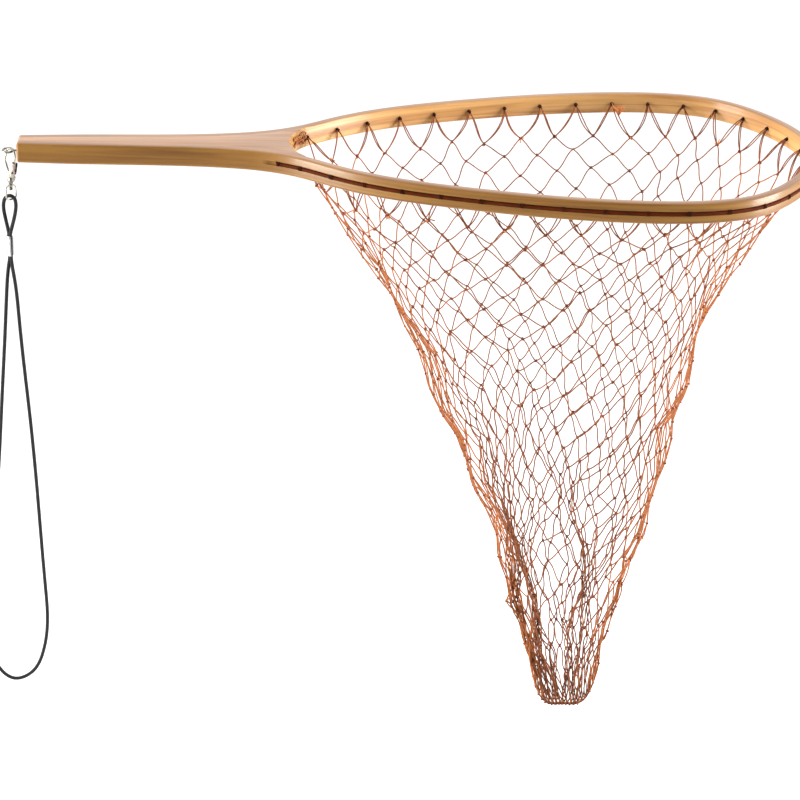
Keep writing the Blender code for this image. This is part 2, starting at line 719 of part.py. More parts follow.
def make_lanyard_cord(material, parts):
    """The cord, with its centreline's points close together in the small loop and in the crimp."""
    fine = smooth_curve(CORD_ROUTE, 4001)
    line = [fine[0]]
    for point in fine[1:-1]:
        step = WRIST_LOOP_STEP
        if point[2] > CRIMP_LEGS_FOOT:
            step = CRIMP_LEGS_STEP
        if point[2] > SMALL_LOOP_FOOT:
            step = SMALL_LOOP_STEP
        if np.linalg.norm(point - line[-1]) >= step and np.linalg.norm(point - fine[-1]) >= 0.5 * step:
            line.append(point)
    line.append(fine[-1])
    return tube("lanyard_cord", [place(*point) for point in line], CORD_RADIUS, material, parts)


def make_crimp_sleeve(material, parts):
    """Sheet metal folded round the two strands, with an open seam beside the near one."""
    near = np.array(NEAR_STRAND)
    far = np.array(FAR_STRAND)
    along = (far - near) / np.linalg.norm(far - near)
    base = math.atan2(along[1], along[0])
    inner = CORD_RADIUS + CRIMP_CLEARANCE
    outer = inner + CRIMP_WALL
    turns = [(near, a) for a in np.linspace(CRIMP_SEAM_START, base - math.pi / 2, 4)]
    turns += [(far, a) for a in np.linspace(base - math.pi / 2, base + math.pi / 2, 13)]
    turns += [(near, a) for a in np.linspace(base + math.pi / 2, CRIMP_SEAM_END, 8)]
    middle = (near + far) / 2

    def ring(radius):
        line = [c + radius * np.array((math.cos(a), math.sin(a))) for c, a in turns]
        return [tuple(p - middle) for p in line]

    centre = Matrix.Translation(place(*middle, (CRIMP_TOP + CRIMP_BOTTOM) / 2))
    half = (CRIMP_TOP - CRIMP_BOTTOM) / 2
    return flat_plate("crimp_sleeve", ring(outer) + ring(inner)[::-1], half, 0.0, material, parts, centre)


def main():
    clear_scene()
    parts = make_collection("landing_net")
    cutters = make_collection("landing_net cutters")
    core_wood = make_material("core wood", (0.36, 0.17, 0.075), 0.32)
    bow_wood = make_material("bow wood", (0.56, 0.31, 0.14), 0.30)
    lacing = make_material("lacing cord", (0.11, 0.025, 0.015), 0.75)
    twine = make_material("net twine", (0.45, 0.16, 0.03), 0.55)
    steel = make_material("screw eye steel", (0.62, 0.61, 0.58), 0.28, 1.0)
    nickel = make_material("snap nickel", (0.55, 0.52, 0.45), 0.26, 1.0)
    dark_nickel = make_material("post nickel", (0.30, 0.28, 0.24), 0.35, 1.0)
    aluminium = make_material("crimp aluminium", (0.70, 0.70, 0.72), 0.38, 1.0)
    elastic = make_material("elastic cord", (0.012, 0.012, 0.014), 0.70)

    rail = Rail()
    bow = make_hoop_bow(rail, bow_wood, parts)
    core = make_handle_core(rail, core_wood, parts)
    cord, groove = make_lacing(rail, lacing, parts, cutters)
    trim = make_butt_trim(cutters)
    pilot_ends = place(-0.002, 0.0, -RING_DROP), place(PILOT_DEPTH, 0.0, -RING_DROP)
    pilot = cylinder("pilot_hole", PILOT_RADIUS, *pilot_ends, 16, None, cutters)
    combine(bow, groove, "DIFFERENCE")
    combine(bow, make_lacing_holes(rail, cutters), "DIFFERENCE")
    combine(bow, trim, "DIFFERENCE")
    combine(core, trim, "DIFFERENCE")
    combine(core, pilot, "DIFFERENCE")
    bag = make_net_bag(rail, twine, parts)
    screw_eye = make_screw_eye(steel, parts, cutters)

    plane = snap_plane()
    hinge = plane @ Matrix.Translation((*GATE_PIVOT, 0.0)) @ Matrix.Rotation(-GATE_LEAN, 4, "Z")
    snap_swing = joint_frame("snap_swing", plane @ Matrix.Translation((*SWING_POINT, 0.0)), parts)
    gate_pivot = joint_frame("gate_pivot", hinge, parts, snap_swing)
    swivel = Matrix.Translation(place(*SWIVEL_AXIS, LINK_TOP)) @ Matrix.Rotation(LINK_TURN, 4, "Z")
    eye_swivel = joint_frame("eye_swivel", swivel, parts, snap_swing)
    link_foot = Matrix.Translation(place(*SWIVEL_AXIS, LINK_BOTTOM)) @ Matrix.Rotation(LINK_TURN, 4, "Z")
    lanyard_swing = joint_frame("lanyard_swing", link_foot, parts, eye_swivel)

    body = make_snap_body(plane, nickel, parts, cutters)
    pin = make_gate_pin(hinge, dark_nickel, parts)
    post = make_swivel_post(dark_nickel, parts)
    gate = make_snap_gate(hinge, nickel, parts, cutters)
    spring = make_gate_spring(hinge, steel, parts)
    swivel_eye = make_swivel_eye(nickel, parts, cutters)
    lanyard = make_lanyard_cord(elastic, parts)
    crimp = make_crimp_sleeve(aluminium, parts)
    for item in (bow, core, bag, screw_eye, body, gate, swivel_eye, crimp):
        smooth_shading(item)
    carried = (
        (snap_swing, (body, pin, post)),
        (gate_pivot, (gate, spring)),
        (eye_swivel, (swivel_eye,)),
        (lanyard_swing, (lanyard, crimp)),
    )
    for parent, items in carried:
        for item in items:
            hang(item, parent)
    for cutter in cutters.objects:
        if cutter.name in ("hook_wire", "swivel_boss", "post_bore", "pin_hole"):
            hang(cutter, snap_swing)
        if cutter.name in ("gate_channel", "gate_fork", "gate_hole"):
            hang(cutter, gate_pivot)
        if cutter.name in ("collar", "collar_hole"):
            hang(cutter, eye_swivel)


main()
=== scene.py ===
"""Looks of the landing net: varnished wood, knotted twine netting, plated hardware and an elastic lanyard.

Metres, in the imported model's frame. As in the CAD model, sizes along the net are measured from the butt
of the handle and heights from the middle of the wood's thickness, and place() moves them into the frame.
"""
import math

import bmesh
import bpy
import numpy as np
from mathutils import Matrix, Vector


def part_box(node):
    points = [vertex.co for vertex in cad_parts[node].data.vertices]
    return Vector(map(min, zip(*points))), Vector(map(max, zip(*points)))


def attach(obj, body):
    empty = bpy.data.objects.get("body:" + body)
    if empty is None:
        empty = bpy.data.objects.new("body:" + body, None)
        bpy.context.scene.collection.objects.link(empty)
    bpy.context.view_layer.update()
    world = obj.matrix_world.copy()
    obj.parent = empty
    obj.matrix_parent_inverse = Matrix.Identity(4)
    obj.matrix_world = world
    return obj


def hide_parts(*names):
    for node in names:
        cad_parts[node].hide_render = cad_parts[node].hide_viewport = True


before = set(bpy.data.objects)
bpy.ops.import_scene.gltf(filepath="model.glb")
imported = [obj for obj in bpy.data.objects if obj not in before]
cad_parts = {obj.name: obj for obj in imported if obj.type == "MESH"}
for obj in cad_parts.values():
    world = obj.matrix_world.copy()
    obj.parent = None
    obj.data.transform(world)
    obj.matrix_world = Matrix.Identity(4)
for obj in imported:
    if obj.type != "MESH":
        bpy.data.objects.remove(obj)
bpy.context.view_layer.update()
TURN = 2 * math.pi
QUARTER = 0.5 * math.pi
BUTT_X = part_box("hoop_bow")[0][0]

# Camera and stage
CAMERA_PLACE = (0.1465, -1.8455, 0.6080)
CAMERA_AZIMUTH = math.radians(-1.899)
CAMERA_ELEVATION = math.radians(23.291)
CAMERA_ROLL = math.radians(1.083)
CAMERA_LENS = 120.876
FLOOR_HEIGHT = -1.0
FLOOR_SHADE = 0.58
SURROUND_BRIGHT = 1.9
SURROUND_DIM = 0.15
FRONT_DIM_START = 0.35
FRONT_DIM_END = 0.75

# Wood
WOOD_THICKNESS = 0.015
OUTLINE = (
    (-0.004, 0.0098), (0.040, 0.0127), (0.080, 0.0140), (0.120, 0.0156),
    (0.150, 0.0190), (0.175, 0.0250), (0.200, 0.0378), (0.225, 0.0585),
    (0.260, 0.0818), (0.310, 0.1025), (0.370, 0.1200), (0.430, 0.1298),
    (0.480, 0.1290), (0.515, 0.1170), (0.545, 0.0865), (0.565, 0.0490),
)
HOOP_TIP = 0.575
BOW_WIDTH = 0.007
LEG_STEP = 0.006
HOOP_STEP = 0.0024
EDGE_RADIUS = 0.0018
INNER_EDGE_RADIUS = 0.0014
SQUARE_EDGE_RADIUS = 0.0001
THROAT_BOTTOM = 0.1945
THROAT_CORNER = 0.206
BUTT_ROUNDING = 0.0032
BUTT_HALF_WIDTH = 0.01075
BUTT_HALF_HEIGHT = 0.0077
GLUE_LINE = 0.00005
CORE_EDGE = 0.0001
PILOT_RADIUS = 0.0009
PILOT_DEPTH = 0.017
OUTER_PLY = (0.222, 0.109, 0.017, 1.0)
INNER_PLY = (0.470, 0.264, 0.094, 1.0)
PLY_EDGE = (0.255, 0.138, 0.064, 1.0)
CORE_TONE = (0.290, 0.152, 0.069, 1.0)

# Lacing
GROOVE_RADIUS = 0.0016
GROOVE_START = 0.178
GROOVE_RUN = 0.003
GROOVE_LIP = 0.0002
LACING_RADIUS = 0.00115
LACING_INSET = 0.0003
LACING_START = 0.187
HOLE_RADIUS = 0.0012
HOLE_PITCH = 0.0286
HOLES_PER_SIDE = 17

# Netting
TWINE_RADIUS = 0.00047
SLACK_RADIUS = 0.00052
SLACK_DEPTH = 0.20
BAR_LENGTH = 0.0190
TOP_LEG_LENGTH = 0.0275
ROWS = 26
BAG = (
    (0.000, 0.2075, 0.5660, 0.1210), (0.026, 0.2170, 0.5490, 0.1130),
    (0.050, 0.2350, 0.5350, 0.1030), (0.085, 0.2550, 0.5180, 0.0920),
    (0.125, 0.2780, 0.5030, 0.0820), (0.170, 0.2980, 0.4910, 0.0710),
    (0.215, 0.3140, 0.4820, 0.0620), (0.260, 0.3350, 0.4770, 0.0530),
    (0.307, 0.3520, 0.4630, 0.0440), (0.350, 0.3660, 0.4510, 0.0350),
    (0.390, 0.3800, 0.4380, 0.0280), (0.430, 0.3850, 0.4350, 0.0245),
    (0.449, 0.3930, 0.4290, 0.0180), (0.4555, 0.4030, 0.4200, 0.0085),
)
BAG_CENTRE = 0.387
BAG_HALF_LENGTH = 0.18
BAG_HALF_WIDTH = 0.123
BAG_ROUND_DEPTH = 0.15
BAG_DEPTH = 0.4565
SEAM_CENTRE = 0.4105
SEAM_HALF_LENGTH = 0.0245
SEAM_RISE = 0.027
FOLD_ANGLE = -2.45
FOLD_DEPTH = 0.26
SAG_ANGLE = -2.9
SAG_DEPTH = 0.357
PLEAT = 0.013
BUNCH = 0.045
BUNCH_DEPTH = 0.27
LOOSE_ROW = 18
LOOSE_SPREAD = (0.0016, 0.0010, 0.0024)
KNOT_GAP = 0.0020
KNOT_SIZE = 0.00033
BAG_THROAT = 0.2035
RELAX_ROUNDS = 700
FALL_STEP = 0.0012
LOWER_SHARE = 0.62
TIP_COLUMN = 16.5
TUFT_HOLE = 24
PLY_STEP = 0.00035

# Screw eye
RING_CENTRE = 0.0068
RING_DROP = 0.0012
RING_RADIUS = 0.00365
RING_TILT = math.radians(8)
EYE_WIRE_RADIUS = 0.00085
SHANK_RADIUS = 0.0008
SHANK_END = 0.012
THREAD_PITCH = 0.0009

# Swivel snap, in its own upright plane: (reach from the swivel's axis, height)
SWIVEL_AXIS = (-0.0056, -0.0016)
SNAP_TURN = math.radians(-26.6)
HOOK_WIRE_RADIUS = 0.0007
CROWN_CENTRE = (0.0009, -0.00284)
CROWN_RADIUS = 0.0034
HOOK_SHAFT = (
    (-0.0036, -0.0060), (-0.0038, -0.0085), (-0.0032, -0.0112),
    (-0.0021, -0.0148), (-0.0010, -0.0185), (-0.0003, -0.0215),
)
NOSE_END = -0.0106
PLATE_OUTLINE = (
    (0.0024, -0.0156), (0.0034, -0.0159), (0.0038, -0.0170), (0.0035, -0.0183),
    (0.0038, -0.0200), (0.0034, -0.0224), (0.0020, -0.0244), (0.0000, -0.0250),
    (-0.0020, -0.0243), (-0.0034, -0.0218), (-0.0040, -0.0188), (-0.0037, -0.0168),
    (-0.0025, -0.0160), (-0.0010, -0.0163), (0.0004, -0.0163), (0.0014, -0.0158),
)
PLATE_HALF_THICKNESS = 0.0006
BOSS_RADIUS = 0.00155
BOSS_TOP = -0.0212
BOSS_BOTTOM = -0.0262
POST_RADIUS = 0.00075
POST_TOP = -0.0231
POST_HEAD_RADIUS = 0.0013
POST_HEAD_TOP = -0.0284
POST_HEAD_BOTTOM = -0.0308
GATE_PIVOT = (0.0024, -0.0170)
GATE_LEAN = math.radians(11)
GATE_TOP = 0.0072
GATE_FOOT = -0.0016
GATE_BACK = -0.0018
GATE_FRONT = 0.0017
GATE_HALF_WIDTH = 0.0017
GATE_WALL = 0.00045
GATE_BACK_FOOT = 0.0026
GATE_CORNER = 0.0012
PIN_RADIUS = 0.0004
PIN_HEAD_RADIUS = 0.0010
PIN_HEAD_THICKNESS = 0.0004
SPRING_WIRE_RADIUS = 0.00018
SPRING_COIL_RADIUS = 0.0010
SPRING_PLANE = 0.00098
LINK_TURN = math.radians(40)
LINK_HALF_WIDTH = 0.0043
LINK_TOP = -0.0273
LINK_BOTTOM = -0.0377
LINK_CORNER = 0.0027
LINK_WIRE_RADIUS = 0.0006
COLLAR_RADIUS = 0.0017
COLLAR_HALF_HEIGHT = 0.0007

# Lanyard
CORD_RADIUS = 0.00135
CRIMP_TOP = -0.0655
CRIMP_BOTTOM = -0.0805
CRIMP_WALL = 0.00045
CRIMP_CLEARANCE = 0.00025
CRIMP_SEAM_START = math.radians(18)
CRIMP_SEAM_END = math.radians(280)
NEAR_STRAND = (-0.0074, -0.00295)
FAR_STRAND = (-0.0086, -0.00020)
CORD_ROUTE = (
    (*FAR_STRAND, -0.0735), (*FAR_STRAND, -0.0775), (*FAR_STRAND, -0.0815),
    (-0.0096, -0.0006, -0.0885), (-0.0118, -0.0012, -0.1080), (-0.0144, -0.0016, -0.1417),
    (-0.0179, -0.0016, -0.1833), (-0.0221, -0.0016, -0.2339), (-0.0275, -0.0016, -0.2900),
    (-0.0333, -0.0016, -0.3400), (-0.0375, -0.0016, -0.3780), (-0.0368, -0.0016, -0.4030),
    (-0.0306, -0.0016, -0.4215), (-0.0188, -0.0016, -0.4315), (-0.0062, -0.0016, -0.4270),
    (0.0040, -0.0016, -0.4090), (0.0084, -0.0016, -0.3830), (0.0080, -0.0016, -0.3520),
    (0.0065, -0.0016, -0.3180), (0.0044, -0.0016, -0.2653), (0.0010, -0.0016, -0.2027),
    (-0.0013, -0.0016, -0.1695), (-0.0037, -0.0018, -0.1281), (-0.0054, -0.0023, -0.1014),
    (-0.0069, -0.0028, -0.0885), (*NEAR_STRAND, -0.0815), (*NEAR_STRAND, -0.0770),
    (*NEAR_STRAND, -0.0700), (*NEAR_STRAND, -0.0650), (-0.0063, -0.0030, -0.0600),
    (-0.0043, -0.0030, -0.0528), (-0.0027, -0.0030, -0.0452), (-0.0025, -0.0029, -0.0395),
    (-0.0037, -0.0026, -0.0362), (-0.0065, -0.0016, -0.0350), (-0.0095, -0.0006, -0.0364),
    (-0.0113, -0.0001, -0.0400), (-0.0117, 0.0000, -0.0450), (-0.0107, -0.0001, -0.0525),
    (-0.0093, -0.0001, -0.0602), (*FAR_STRAND, -0.0650), (*FAR_STRAND, -0.0690),
    (*FAR_STRAND, -0.0727),
)


# ---- lines and meshes


def place(x, y, z):
    """A point given from the butt and from the middle of the wood, in the frame of the whole net."""
    return np.array((x + BUTT_X, y, z + WOOD_THICKNESS / 2))


def unit(vectors):
    return vectors / (np.linalg.norm(vectors, axis=-1, keepdims=True) + 1e-12)


def run_along(points):
    """The distance run along the points up to each of them."""
    return np.concatenate(([0.0], np.cumsum(np.linalg.norm(np.diff(points, axis=0), axis=1))))


def smooth_curve(points, count):
    """Points spread evenly along the natural cubic spline through the given points."""
    knots = np.array(points, dtype=float)
    step = np.linalg.norm(np.diff(knots, axis=0), axis=1)
    chord = run_along(knots)
    last = len(knots) - 1
    system = np.eye(last + 1)
    load = np.zeros_like(knots)
    for i in range(1, last):
        system[i, i - 1:i + 2] = step[i - 1], 2 * (step[i - 1] + step[i]), step[i]
        load[i] = 6 * ((knots[i + 1] - knots[i]) / step[i] - (knots[i] - knots[i - 1]) / step[i - 1])
    bend = np.linalg.solve(system, load)

    def at(distance):
        i = np.clip(np.searchsorted(chord, distance, side="right") - 1, 0, last - 1)
        width = step[i][:, None]
        before = (chord[i + 1] - distance)[:, None] / width
        after = 1 - before
        cubic = (before ** 3 - before) * bend[i] + (after ** 3 - after) * bend[i + 1]
        return before * knots[i] + after * knots[i + 1] + cubic * width ** 2 / 6

    fine = np.linspace(0.0, chord[-1], 60 * last + 1)
    length = run_along(at(fine))
    return at(np.interp(np.linspace(0.0, length[-1], count), length, fine))


class Rail:
    """The bow's outer face in plan: from the butt along the -Y side, round the tip and back to the butt."""

    def __init__(self):
        out = [(x, -half) for x, half in OUTLINE]
        back = [(x, half) for x, half in reversed(OUTLINE)]
        self.points = smooth_curve(out + [(HOOP_TIP, 0.0)] + back, 3001)
        self.distance = run_along(self.points)
        self.length = float(self.distance[-1])
        along = np.gradient(self.points, axis=0)
        along /= np.linalg.norm(along, axis=1)[:, None]
        self.inward = np.stack((-along[:, 1], along[:, 0]), axis=1)

    def at(self, distance, inset=0.0):
        """The plan point at a distance along the outer face, moved inward by the inset."""
        line = self.points + inset * self.inward
        return np.array([np.interp(distance, self.distance, line[:, k]) for k in range(2)])

    def reach(self, x, inset=0.0):
        """The first distance at which the inset line is as far from the butt as x."""
        line = self.points[:, 0] + inset * self.inward[:, 0]
        return float(self.distance[np.argmax(line >= x)])

    def across(self, distance):
        """The level direction into the hoop at a distance along the outer face."""
        return unit(np.array((*(self.at(distance, 1.0) - self.at(distance)), 0.0)))

    def holes(self):
        """Distances along the outer face of the lacing holes."""
        first = self.length / 2 - HOLE_PITCH * (HOLES_PER_SIDE - 0.5)
        return [first + HOLE_PITCH * i for i in range(2 * HOLES_PER_SIDE)]


def link(name, data):
    """A new object of the data, in the scene."""
    item = bpy.data.objects.new(name, data)
    bpy.context.scene.collection.objects.link(item)
    return item


def evaluated_mesh(item):
    """A new mesh of the object, with its curve filled or its modifiers applied."""
    bpy.context.view_layer.update()
    depsgraph = bpy.context.evaluated_depsgraph_get()
    return bpy.data.meshes.new_from_object(item.evaluated_get(depsgraph))


def mesh_object(name, vertices, faces, uvs=None):
    """An object of the given faces, with one UV pair for each face corner, shaded smooth."""
    mesh = bpy.data.meshes.new(name)
    mesh.from_pydata([tuple(v) for v in vertices], [], [tuple(int(i) for i in f) for f in faces])
    if uvs is not None:
        layer = mesh.uv_layers.new(name="UVMap")
        layer.data.foreach_set("uv", np.asarray(uvs, dtype=np.float32).ravel())
    mesh.validate()
    mesh.shade_smooth()
    return link(name, mesh)


def quads_between(rings, sides, closed=False):
    """Faces between neighbouring rings of points, and the ring and the side that each starts from."""
    i, k = np.meshgrid(np.arange(rings if closed else rings - 1), np.arange(sides), indexing="ij")
    i = i.ravel()
    k = k.ravel()
    near = i * sides
    far = (i + 1) % rings * sides
    after = (k + 1) % sides
    return np.stack((near + k, near + after, far + after, far + k), axis=1), i, k


def flat_line(points):
    """The points of a plane, at no height above it."""
    return np.column_stack((points, np.zeros(len(points))))


def arc(centre, radius, angles):
    """Points at the given angles round a centre, in a plane."""
    return np.stack((centre[0] + radius * np.cos(angles), centre[1] + radius * np.sin(angles)), axis=1)


def transport(line, closed):
    """Two directions across the line at each of its points, carried along it without twisting."""
    if closed:
        along = unit(np.roll(line, -1, axis=0) - np.roll(line, 1, axis=0))
    else:
        along = unit(np.gradient(line, axis=0))
    across = np.zeros_like(line)
    start = np.eye(3)[np.argmin(np.abs(along[0]))]
    across[0] = unit(start - along[0] * (start @ along[0]))
    for i in range(1, len(line)):
        across[i] = unit(across[i - 1] - along[i] * (across[i - 1] @ along[i]))
    return across, np.cross(along, across)


def tubes(name, lines, radius, sides=6, closed=False):
    """Round tubes along the lines, in one object. U goes once round a tube and V along it, in metres."""
    turn = (TURN * np.arange(sides) / sides)[:, None]
    vertices = []
    faces = []
    uvs = []
    base = 0
    for line in lines:
        line = np.asarray(line, dtype=float)
        count = len(line)
        across, other = transport(line, closed)
        ring = np.cos(turn) * across[:, None] + np.sin(turn) * other[:, None]
        vertices.append((line[:, None] + radius * ring).reshape(-1, 3))
        run = run_along(line)
        quads, i, k = quads_between(count, sides, closed)
        faces.extend((base + quads).tolist())
        here = run[i]
        there = np.append(run, run[-1] + run[1])[i + 1]
        over = np.stack((k, k + 1, k + 1, k), axis=1) / sides
        along = np.stack((here, here, there, there), axis=1)
        uvs.append(np.stack((over, along), axis=2).reshape(-1, 2))
        if not closed:
            faces.append([base + n for n in range(sides)][::-1])
            faces.append([base + (count - 1) * sides + n for n in range(sides)])
            uvs.append(np.zeros((2 * sides, 2)))
        base += count * sides
    return mesh_object(name, np.concatenate(vertices), faces, np.concatenate(uvs))


def turned(name, profile, sides=40):
    """A solid turned about Z from (radius, height) pairs, the first and last of them on the axis."""
    angles = TURN * np.arange(sides) / sides
    vertices = [(0.0, 0.0, profile[0][1])]
    for radius, height in profile[1:-1]:
        vertices.extend((x, y, height) for x, y in arc((0.0, 0.0), radius, angles))
    vertices.append((0.0, 0.0, profile[-1][1]))
    last = len(vertices) - 1
    faces = [(1 + k, 1 + (k + 1) % sides, 0) for k in range(sides)]
    faces += [(last, last - sides + (k + 1) % sides, last - sides + k) for k in range(sides)]
    faces += (1 + quads_between(len(profile) - 2, sides)[0][:, (0, 3, 2, 1)]).tolist()
    return mesh_object(name, vertices, faces)


def flat_plate(name, outline, half_thickness, edge):
    """A plate cut to a closed outline in its own XY plane, with rounded edges."""
    data = bpy.data.curves.new(name, "CURVE")
    data.dimensions = "2D"
    data.fill_mode = "BOTH"
    data.extrude = half_thickness - edge
    data.bevel_depth = edge
    data.bevel_resolution = 3
    spline = data.splines.new("POLY")
    spline.points.add(len(outline) - 1)
    for target, point in zip(spline.points, outline):
        target.co = (point[0], point[1], 0.0, 1.0)
    spline.use_cyclic_u = True
    source = link(name, data)
    mesh = evaluated_mesh(source)
    bpy.data.objects.remove(source, do_unlink=True)
    shape = bmesh.new()
    shape.from_mesh(mesh)
    bmesh.ops.remove_doubles(shape, verts=shape.verts, dist=1e-7)
    bmesh.ops.recalc_face_normals(shape, faces=shape.faces)
    shape.to_mesh(mesh)
    shape.free()
    return link(name, mesh)


def box_object(name, low, high, rounding=0.0):
    """A box between two corners, with the edges of its end at low X rounded."""
    low = np.array(low)
    high = np.array(high)
    shape = bmesh.new()
    matrix = Matrix.Translation((low + high) / 2) @ Matrix.Diagonal((*(high - low), 1.0))
    bmesh.ops.create_cube(shape, size=1.0, matrix=matrix)
    if rounding:
        ends = [e for e in shape.edges if all(v.co.x < low[0] + 1e-6 for v in e.verts)]
        bmesh.ops.bevel(shape, geom=ends, offset=rounding, segments=10, profile=0.5, affect="EDGES")
    mesh = bpy.data.meshes.new(name)
    shape.to_mesh(mesh)
    shape.free()
    return link(name, mesh)


def join(items, name):
    """Joins the objects into the first one, which takes the name."""
    with bpy.context.temp_override(active_object=items[0], selected_editable_objects=items):
        bpy.ops.object.join()
    items[0].name = name
    return items[0]


def move(item, matrix):
    """Moves the object's mesh by the matrix and leaves the object at the origin."""
    item.data.transform(matrix)
    item.data.update()
    return item


def sharpen(item, degrees=35):
    item.data.shade_smooth()
    item.data.set_sharp_from_angle(angle=math.radians(degrees))


def carve(item, cutter):
    """Takes the cutter's shape out of the object's mesh for good."""
    modifier = item.modifiers.new("carve", "BOOLEAN")
    modifier.operation = "DIFFERENCE"
    modifier.solver = "EXACT"
    modifier.object = cutter
    mesh = evaluated_mesh(item)
    item.modifiers.clear()
    item.data = mesh
    bpy.data.objects.remove(cutter, do_unlink=True)


def matrix_at(point, *turns):
    """A move to a place on the net after the turns, the last of them first."""
    matrix = Matrix.Translation(Vector(place(*point)))
    for angle, axis in turns:
        matrix = matrix @ Matrix.Rotation(angle, 4, axis)
    return matrix


# ---- materials


class Nodes:
    """Short calls for the nodes of a material or of the surround."""

    def __init__(self, tree):
        self.tree = tree

    def fill(self, node, inputs):
        """Sets the node's inputs, or links them where the value is another node's output."""
        for key, value in inputs.items():
            if isinstance(value, bpy.types.NodeSocket):
                self.tree.links.new(value, node.inputs[key])
            else:
                node.inputs[key].default_value = value

    def node(self, kind, inputs, **settings):
        node = self.tree.nodes.new("ShaderNode" + kind)
        for key, value in settings.items():
            setattr(node, key, value)
        self.fill(node, inputs)
        return node

    def uv(self, name="UVMap"):
        return self.node("UVMap", {}, uv_map=name).outputs["UV"]

    def position(self):
        return self.node("TexCoord", {}).outputs["Object"]

    def parts(self, vector):
        return self.node("SeparateXYZ", {"Vector": vector}).outputs

    def scaled(self, vector, scale):
        return self.node("Mapping", {"Vector": vector, "Scale": scale}).outputs["Vector"]

    def noise(self, vector, scale, detail=4.0, roughness=0.55, distortion=0.0):
        look = {"Scale": scale, "Detail": detail, "Roughness": roughness, "Distortion": distortion}
        return self.node("TexNoise", {"Vector": vector, **look}).outputs["Fac"]

    def math(self, operation, first, second=0.0):
        return self.node("Math", {0: first, 1: second}, operation=operation).outputs[0]

    def mix(self, share, first, second, blend="MIX"):
        inputs = {0: share, 6: first, 7: second}
        return self.node("Mix", inputs, data_type="RGBA", blend_type=blend).outputs[2]

    def spread(self, value, low, high, start=0.0, end=1.0, way="LINEAR"):
        """A value from start to end, spread over low to high."""
        inputs = {"Value": value, "From Min": start, "From Max": end, "To Min": low, "To Max": high}
        return self.node("MapRange", inputs, interpolation_type=way).outputs["Result"]

    def ramp(self, value, stops):
        """Colours along a value: (position, (red, green, blue)) pairs."""
        ramp = self.node("ValToRGB", {"Fac": value})
        elements = ramp.color_ramp.elements
        while len(elements) < len(stops):
            elements.new(0.5)
        for element, (position, colour) in zip(elements, stops):
            element.position = position
            element.color = (*colour, 1.0)
        return ramp.outputs["Color"]

    def slanted(self, turns, pitch):
        """Ridges that wind along a tube: 1 on a ridge, 0 between two."""
        along = self.parts(self.scaled(self.uv(), (turns, pitch, 1.0)))
        phase = self.math("ADD", along["X"], along["Y"])
        return self.spread(self.math("SINE", self.math("MULTIPLY", phase, TURN)), 0.0, 1.0, -1.0)


class Shading(Nodes):
    """A new material with its Principled shader."""

    def __init__(self, name, inputs):
        self.material = bpy.data.materials.new(name)
        self.material.use_nodes = True
        super().__init__(self.material.node_tree)
        self.shader = self.tree.nodes["Principled BSDF"]
        self.fill(self.shader, inputs)

    def surface(self, colour, height=None, depth=0.0):
        """Sets the colour, and relief of the given depth in metres."""
        self.fill(self.shader, {"Base Color": colour})
        if height:
            relief = self.node("Bump", {"Distance": depth, "Strength": 1.0, "Height": height})
            self.fill(self.shader, {"Normal": relief.outputs["Normal"]})

    def wear(self, item):
        """Gives the object this material alone."""
        item.data.materials.clear()
        item.data.materials.append(self.material)


def fit(item, shade, slot, body, node=None):
    """Gives the object its material, sets it on its body and lets it stand for its CAD node. The slot is not
    used.
    """
    shade.wear(item)
    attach(item, body)
    if node:
        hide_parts(node)


def wood(name, source, middle, dark, streak):
    """Varnished wood, its grain along the source's X in metres: the material, the grain and its relief."""
    shade = Shading(name, {"Coat Weight": 0.25, "Coat Roughness": 0.2, "Specular IOR Level": 0.2})
    source = source(shade)

    def grain(along, across, detail, roughness=0.55, distortion=0.0):
        return shade.noise(shade.scaled(source, (along, across, across)), 1.0, detail, roughness, distortion)

    figure = grain(6.0, 170.0, 5.0, 0.55, 0.9)
    fibre = grain(22.0, 1500.0, 3.0, 0.6)
    pores = grain(90.0, 3600.0, 2.0, 0.5)
    drift = grain(9.0, 25.0, 2.0)
    base = shade.ramp(figure, ((0.38, (1.0, 1.0, 1.0)), (0.50, middle), (0.64, dark)))
    base = shade.mix(shade.spread(fibre, 0.0, 0.55), base, (*streak, 1.0), "MULTIPLY")
    pore_share = shade.ramp(pores, ((0.60, (0.0, 0.0, 0.0)), (0.72, (1.0, 1.0, 1.0))))
    base = shade.mix(shade.math("MULTIPLY", pore_share, 0.22), base, (*dark, 1.0))
    warmth = shade.ramp(drift, ((0.35, (1.06, 1.03, 0.98)), (0.65, (0.90, 0.88, 0.86))))
    shade.fill(shade.shader, {"Roughness": shade.spread(fibre, 0.34, 0.50)})
    relief = shade.math("ADD", shade.math("MULTIPLY", fibre, 0.7), shade.math("MULTIPLY", pores, 0.3))
    return shade, shade.mix(1.0, base, warmth, "MULTIPLY"), relief


def bow_wood():
    """A strip of two plies, the inner one lighter; the plies' edges, on top and below, are pinker."""
    tints = ((0.86, 0.80, 0.72), (0.64, 0.52, 0.42), (0.84, 0.78, 0.70))
    shade, grain, relief = wood("bow wood", Nodes.uv, *tints)
    plies = shade.parts(shade.uv("Plies"))
    tone = shade.mix(plies["X"], OUTER_PLY, INNER_PLY)
    tone = shade.mix(plies["Y"], tone, PLY_EDGE)
    shade.surface(shade.mix(1.0, grain, tone, "MULTIPLY"), relief, 0.00006)
    return shade


